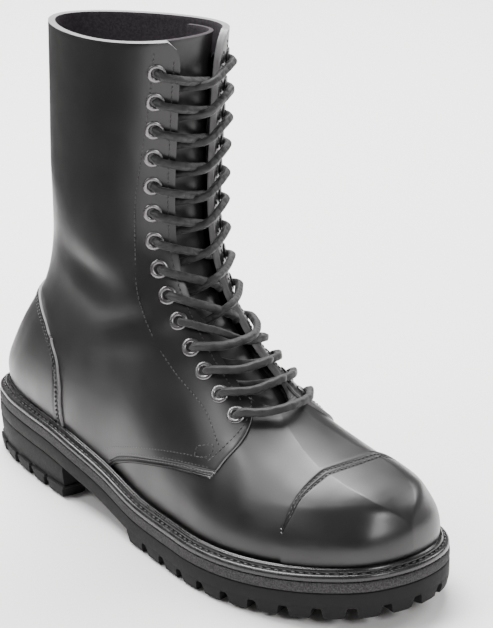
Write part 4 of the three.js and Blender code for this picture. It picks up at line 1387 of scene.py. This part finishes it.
class BOOT_OT_welt(BootOperator, bpy.types.Operator):
    """Makes the welt with its bead beside the upper and its row of lockstitches"""

    bl_idname = "boot.welt"
    bl_label = "Welt"

    def build(self, sizes):
        inside, top = INSOLE_INSET - GAP, BEAD_HEIGHT
        rim = [(0.9, 0), (0.45, 0.4), (0.3, 1.4), (0.5, 2.6), (1.1, 3.3), (1.7, WELT)]
        bead = [
            (-0.1, 0), (-0.05, 0.9), (0.25, top - 0.45), (0.75, top), (1.25, top - 0.1), (1.55, top - 0.5),
            (1.85, top - 0.15), (2.4, top - 0.05), (2.9, top - 0.6), (3.1, 0.6), (3.3, 0),
        ]
        bead = [(BEAD_INSET + inset, WELT + up) for inset, up in bead]
        section = [(inside, 0), *rim, *bead, (inside, WELT), (inside, 0)]
        bm = new_bmesh()
        add_layer(bm, section, welt_base, capped=False)
        make_piece(bm, "welt_rim", [finish("welt_leather_black")], ["welt"], sharp=55)

        bm = new_bmesh()
        points = ring_at(np.linspace(0, 1, 400), WELT_SEAM, lambda x: welt_base(x) + WELT + THREAD_LIFT)
        normals = np.tile([0.0, 0.0, 1.0], (len(points), 1))
        add_stitches(bm, points, normals, sizes.welt_stitch / MM, WELT_THREAD)
        make_piece(bm, "welt_stitches", [finish("thread_black")])


class BOOT_OT_midsole(BootOperator, bpy.types.Operator):
    """Makes the speckled midsole"""

    bl_idname = "boot.midsole"
    bl_label = "Midsole"

    def build(self, sizes):
        section = [
            (8.0, 0), (0.5, 0), (0.1, 0.5), (0.0, 1.6),
            (0.0, 3.2), (0.15, 4.5), (0.6, MIDSOLE), (8.0, MIDSOLE),
        ]
        bm = new_bmesh()
        add_layer(bm, section, lambda x: rubber_top(x) + GAP)
        make_piece(bm, "midsole_band", [finish("midsole_speckled")], ["midsole"], sharp=40)


def lug_ring(start, end, shrink, height):
    """A lug's outline between two shares of the sole's edge, drawn in by shrink."""
    step = shrink / sole_edge.length
    shares = np.linspace(start + step, end - step, 9)
    outside = ring_at(shares, max(shrink, 0.0), height)
    return np.vstack([outside, ring_at(shares[::-1], LUG_REACH - shrink, height)])


def add_lugs(bm, start, end, top):
    """Adds the lugs round a stretch of the sole's edge."""
    run = (end - start) * sole_edge.length
    count = int(round(run / LUG_PITCH))
    half_gap = LUG_GAP / 2 / sole_edge.length
    levels = [(LUG_CHAMFER + 0.9, 0), (0.9, LUG_CHAMFER), (0.0, LUG_DEPTH - 0.6), (-0.8, LUG_DEPTH)]
    for k in range(count):
        a = start + (end - start) * k / count + (half_gap if k > 0 else 0)
        b = start + (end - start) * (k + 1) / count - (half_gap if k < count - 1 else 0)
        rings = [lug_ring(a, b, shrink, lambda x: spring_at(x) + up) for shrink, up in levels]
        add_tower(bm, [*rings, lug_ring(a, b, -0.8, top)])


def add_block(bm, outline, low, high):
    """Adds a block over an outline, with its lower edges cut off."""
    middle = outline.mean(axis=0)
    away = np.linalg.norm(outline - middle, axis=1, keepdims=True)
    small = outline - (outline - middle) / away * LUG_CHAMFER
    add_tower(bm, [
        np.column_stack([small, low(small[:, 0])]),
        np.column_stack([outline, low(outline[:, 0]) + LUG_CHAMFER]),
        np.column_stack([outline, high(outline[:, 0])]),
    ])


def edge_share_where(x, side):
    """The share of the sole's edge where it passes a place along the sole on one side."""
    shares = np.linspace(0, 0.5, 4000) if side == OUTER else np.linspace(0.5, 1, 4000)
    xs = sole_edge.at(shares)[:, 0]
    if side == INNER:
        shares, xs = shares[::-1], xs[::-1]
    return float(np.interp(x, xs[: xs.argmax() + 1], shares[: xs.argmax() + 1]))


def tread_outline(start, end):
    """The outline of a block of tread inside the lugs, between two places along the sole."""
    widths = Widths(LUG_REACH + LUG_GAP)
    xs = np.linspace(start, end, 8)
    outer, inner = (np.stack([xs, widths.at(xs, side)], axis=1) for side in (OUTER, INNER))
    return np.vstack([outer, inner[::-1]])


class BOOT_OT_outsole(BootOperator, bpy.types.Operator):
    """Makes the outsole: its base, the lugs round the forefoot and the tread between them"""

    bl_idname = "boot.outsole"
    bl_label = "Outsole"

    def build(self, sizes):
        def low(x):
            return rubber_top(x) - BASE_RUBBER

        def lug_top(x):
            return low(x) + LUG_SINK

        section = [
            (10.0, 0), (1.0, 0), (0.25, 0.6), (0.0, 1.6), (0.0, BASE_RUBBER - 1.2),
            (0.25, BASE_RUBBER - 0.4), (0.8, BASE_RUBBER), (10.0, BASE_RUBBER),
        ]
        bm = new_bmesh()
        add_layer(bm, section, low)
        start, end = edge_share_where(TREAD_START, OUTER), edge_share_where(TREAD_START, INNER)
        add_lugs(bm, start, end, lug_top)
        cuts = [TREAD_START, *(share * SOLE_LENGTH for share in TREAD_CUTS), TREAD_END]
        for a, b in zip(cuts, cuts[1:]):
            add_block(bm, tread_outline(a + LUG_GAP / 2, b - LUG_GAP / 2), spring_at, lug_top)
        rubber = finish("sole_rubber_charcoal")
        make_piece(bm, "outsole_rubber", [rubber], ["outsole"], sharp=30)


class BOOT_OT_heel(BootOperator, bpy.types.Operator):
    """Makes the heel block with its lugs"""

    bl_idname = "boot.heel"
    bl_label = "Heel"

    def build(self, sizes):
        def top(x):
            return rubber_top(x) - BASE_RUBBER - GAP

        def level_at(height):
            return lambda x: np.full_like(x, height)

        start, end = edge_share_where(HEEL_BREAST, INNER) - 1, edge_share_where(HEEL_BREAST, OUTER)
        shares = np.linspace(start, end, 200)
        bm = new_bmesh()
        add_tower(bm, [
            ring_at(shares, 2.0, level_at(LUG_DEPTH)), ring_at(shares, 1.4, level_at(LUG_DEPTH + 1.2)),
            ring_at(shares, 0.3, lambda x: top(x) - 1.0), ring_at(shares, 0.7, top),
        ])
        add_lugs(bm, start, end, level_at(LUG_DEPTH + 1.0))
        for a, b in HEEL_BLOCKS:
            add_block(bm, tread_outline(a, b), level_at(0), level_at(LUG_DEPTH + 1.0))
        make_piece(bm, "heel_rubber", [finish("sole_rubber_charcoal")], ["heel"], sharp=30)


class BOOT_OT_insole(BootOperator, bpy.types.Operator):
    """Makes the insole inside the boot"""

    bl_idname = "boot.insole"
    bl_label = "Insole"

    def build(self, sizes):
        inset = INSOLE_INSET
        section = [(18.0, 0), (inset, 0), (inset, 2.6), (inset + 0.8, INSOLE), (18.0, INSOLE)]
        bm = new_bmesh()
        add_layer(bm, section, welt_base)
        make_piece(bm, "insole_sock", [finish("insole_suede")], ["insole"], sharp=40)


def stage_plane(name, look, colour, roughness, matrix):
    """A flat rectangle of the stage, in a plain finish."""
    bm = new_bmesh()
    bmesh.ops.create_grid(bm, x_segments=1, y_segments=1, size=0.5, matrix=matrix)
    mesh = bpy.data.meshes.new(name)
    bm.to_mesh(mesh)
    bm.free()
    material, _, _ = base_material(look, colour, roughness)
    mesh.materials.append(material)
    plane = bpy.data.objects.new(name, mesh)
    bpy.context.scene.collection.objects.link(plane)
    return plane


class BOOT_OT_stage(BootOperator, bpy.types.Operator):
    """Sets the pale floor, the soft lights and the camera at the photo's angle"""

    bl_idname = "boot.stage"
    bl_label = "Stage"

    def build(self, sizes):
        scene = bpy.context.scene
        size = Matrix.Diagonal((FLOOR_SIDE, FLOOR_SIDE, 1, 1))
        floor = stage_plane("floor", "floor_pale", scene.boot_colours.floor, 0.9, size)

        world = bpy.data.worlds.new("studio")
        world.use_nodes = True
        world.node_tree.nodes["Background"].inputs["Color"].default_value = (1, 0.985, 0.97, 1)
        world.node_tree.nodes["Background"].inputs["Strength"].default_value = 0.26
        scene.world = world
        for name, place, aim, size, power in LIGHTS:
            data = bpy.data.lights.new(name, "AREA")
            data.shape = "RECTANGLE"
            data.size, data.size_y = size
            data.energy = power
            light = bpy.data.objects.new(name, data)
            light.location = place
            direction = Vector(aim) - Vector(place)
            light.rotation_euler = direction.to_track_quat("-Z", "Y").to_euler()
            scene.collection.objects.link(light)

        azimuth, elevation = math.radians(CAMERA_AZIMUTH), math.radians(CAMERA_ELEVATION)
        turn = Matrix.Rotation(azimuth - math.pi / 2, 4, "Z") @ Matrix.Rotation(math.pi / 2, 4, "X")
        size = Matrix.Diagonal((*CARD_SIZE, 1, 1))
        matrix = Matrix.Translation(CARD_PLACE) @ turn @ size
        card = stage_plane("dark_card", "card_black", CARD_GREY, 1.0, matrix)
        card.visible_camera = card.visible_shadow = card.visible_diffuse = False

        away = Vector((
            math.sin(azimuth) * math.cos(elevation),
            -math.cos(azimuth) * math.cos(elevation),
            math.sin(elevation),
        ))
        data = bpy.data.cameras.new("camera")
        data.lens = CAMERA_LENS
        data.clip_end = 50
        camera = bpy.data.objects.new("camera", data)
        camera.location = Vector(CAMERA_TARGET) + away * CAMERA_DISTANCE
        turn = (-away).to_track_quat("-Z", "Y").to_matrix()
        camera.rotation_euler = (turn @ Matrix.Rotation(math.radians(CAMERA_ROLL), 3, "Z")).to_euler()
        scene.collection.objects.link(camera)
        scene.camera = camera


CAMERA_AZIMUTH = 51.3
CAMERA_ELEVATION = 20.14
CAMERA_ROLL = -0.29
CAMERA_DISTANCE = 1.1484
CAMERA_TARGET = (0.0303, 0.00626, 0.1172)
CAMERA_LENS = 135.4
LIGHTS = [
    ("key", (-0.7, -1.7, 1.8), (0, 0, 0.12), (0.8, 0.8), 26),
    ("front", (1.9, -0.3, 1.3), (0.05, 0, 0.08), (0.7, 0.7), 26),
    ("rim", (0.2, 1.7, 1.2), (0, 0, 0.12), (1.0, 0.6), 20),
    ("top", (-0.95, 0.2, 2.0), (0.05, 0, 0.05), (2.3, 1.3), 215),
]
CARD_PLACE = (-0.17, -0.19, 0.17)
CARD_SIZE = (2.2, 0.34)
CARD_GREY = (0.10, 0.10, 0.10)
FLOOR_SIDE = 16


# Sizes and colours that a user would change
def length_property(name, description, default):
    return FloatProperty(name=name, description=description, default=default, unit="LENGTH")


class BootSizes(bpy.types.PropertyGroup):
    crease_depth: FloatProperty(
        name="Crease depth", description="How deep the upper's creases are, as a share", default=1.0)
    stitch_pitch: length_property("Stitch pitch", "From one stitch to the next", 0.0024)
    stitch_thickness: length_property("Thread", "Thickness of the thread", 0.0007)
    welt_stitch: length_property("Welt stitch", "Pitch of the welt's stitches", 0.0042)
    lace_diameter: length_property("Lace", "Thickness of the lace", 0.0044)
    back_strip: length_property("Back strip", "Width of the strip at the back", 0.015)


def colour_property(name, description, default):
    return FloatVectorProperty(
        name=name, description=description, default=default, subtype="COLOR", min=0, max=1)


class BootColours(bpy.types.PropertyGroup):
    leather: colour_property("Leather", "The upper's smooth black leather", (0.0060, 0.0056, 0.0059))
    # The cut edges' grey is partly the raw edge's tone and partly a painted highlight
    cut_edge: colour_property("Cut edge", "The leather's cut edges", (0.20, 0.195, 0.20))
    lining: colour_property("Lining", "The flesh side inside", (0.050, 0.043, 0.050))
    midsole: colour_property("Midsole", "The speckled band", (0.060, 0.058, 0.060))
    rubber: colour_property("Rubber", "The outsole and heel", (0.0085, 0.0082, 0.0085))
    metal: colour_property("Metal", "The eyelets", (0.17, 0.165, 0.17))
    lace: colour_property("Lace", "The lace's yarn", (0.0045, 0.0042, 0.0048))
    thread: colour_property("Thread", "The sewing thread", (0.030, 0.029, 0.031))
    floor: colour_property("Floor", "The pale floor", (0.86, 0.845, 0.84))


class BOOT_PT_panel(bpy.types.Panel):
    """Lists the boot's pieces, sizes and colours"""

    bl_idname = "BOOT_PT_panel"
    bl_label = "Combat boot"
    bl_space_type = "VIEW_3D"
    bl_region_type = "UI"
    bl_category = "Boot"

    def draw(self, context):
        for operator in OPERATORS:
            self.layout.operator(operator.bl_idname)
        for group in (context.scene.boot_sizes, context.scene.boot_colours):
            for name in group.__annotations__:
                self.layout.prop(group, name)


OPERATORS = (
    BOOT_OT_stage, BOOT_OT_upper, BOOT_OT_overlays, BOOT_OT_tongue, BOOT_OT_insole, BOOT_OT_welt,
    BOOT_OT_midsole, BOOT_OT_outsole, BOOT_OT_heel, BOOT_OT_eyelets, BOOT_OT_lace, BOOT_OT_stitching,
)
CLASSES = (BootSizes, BootColours, BOOT_PT_panel, *OPERATORS)


def register():
    for made in CLASSES:
        bpy.utils.register_class(made)
    bpy.types.Scene.boot_sizes = PointerProperty(type=BootSizes)
    bpy.types.Scene.boot_colours = PointerProperty(type=BootColours)


def unregister():
    del bpy.types.Scene.boot_sizes
    del bpy.types.Scene.boot_colours
    for made in reversed(CLASSES):
        bpy.utils.unregister_class(made)


def main():
    """Builds the whole boot."""
    register()
    for operator in OPERATORS:
        group, name = operator.bl_idname.split(".")
        getattr(getattr(bpy.ops, group), name)()


if __name__ == "__main__":
    main()
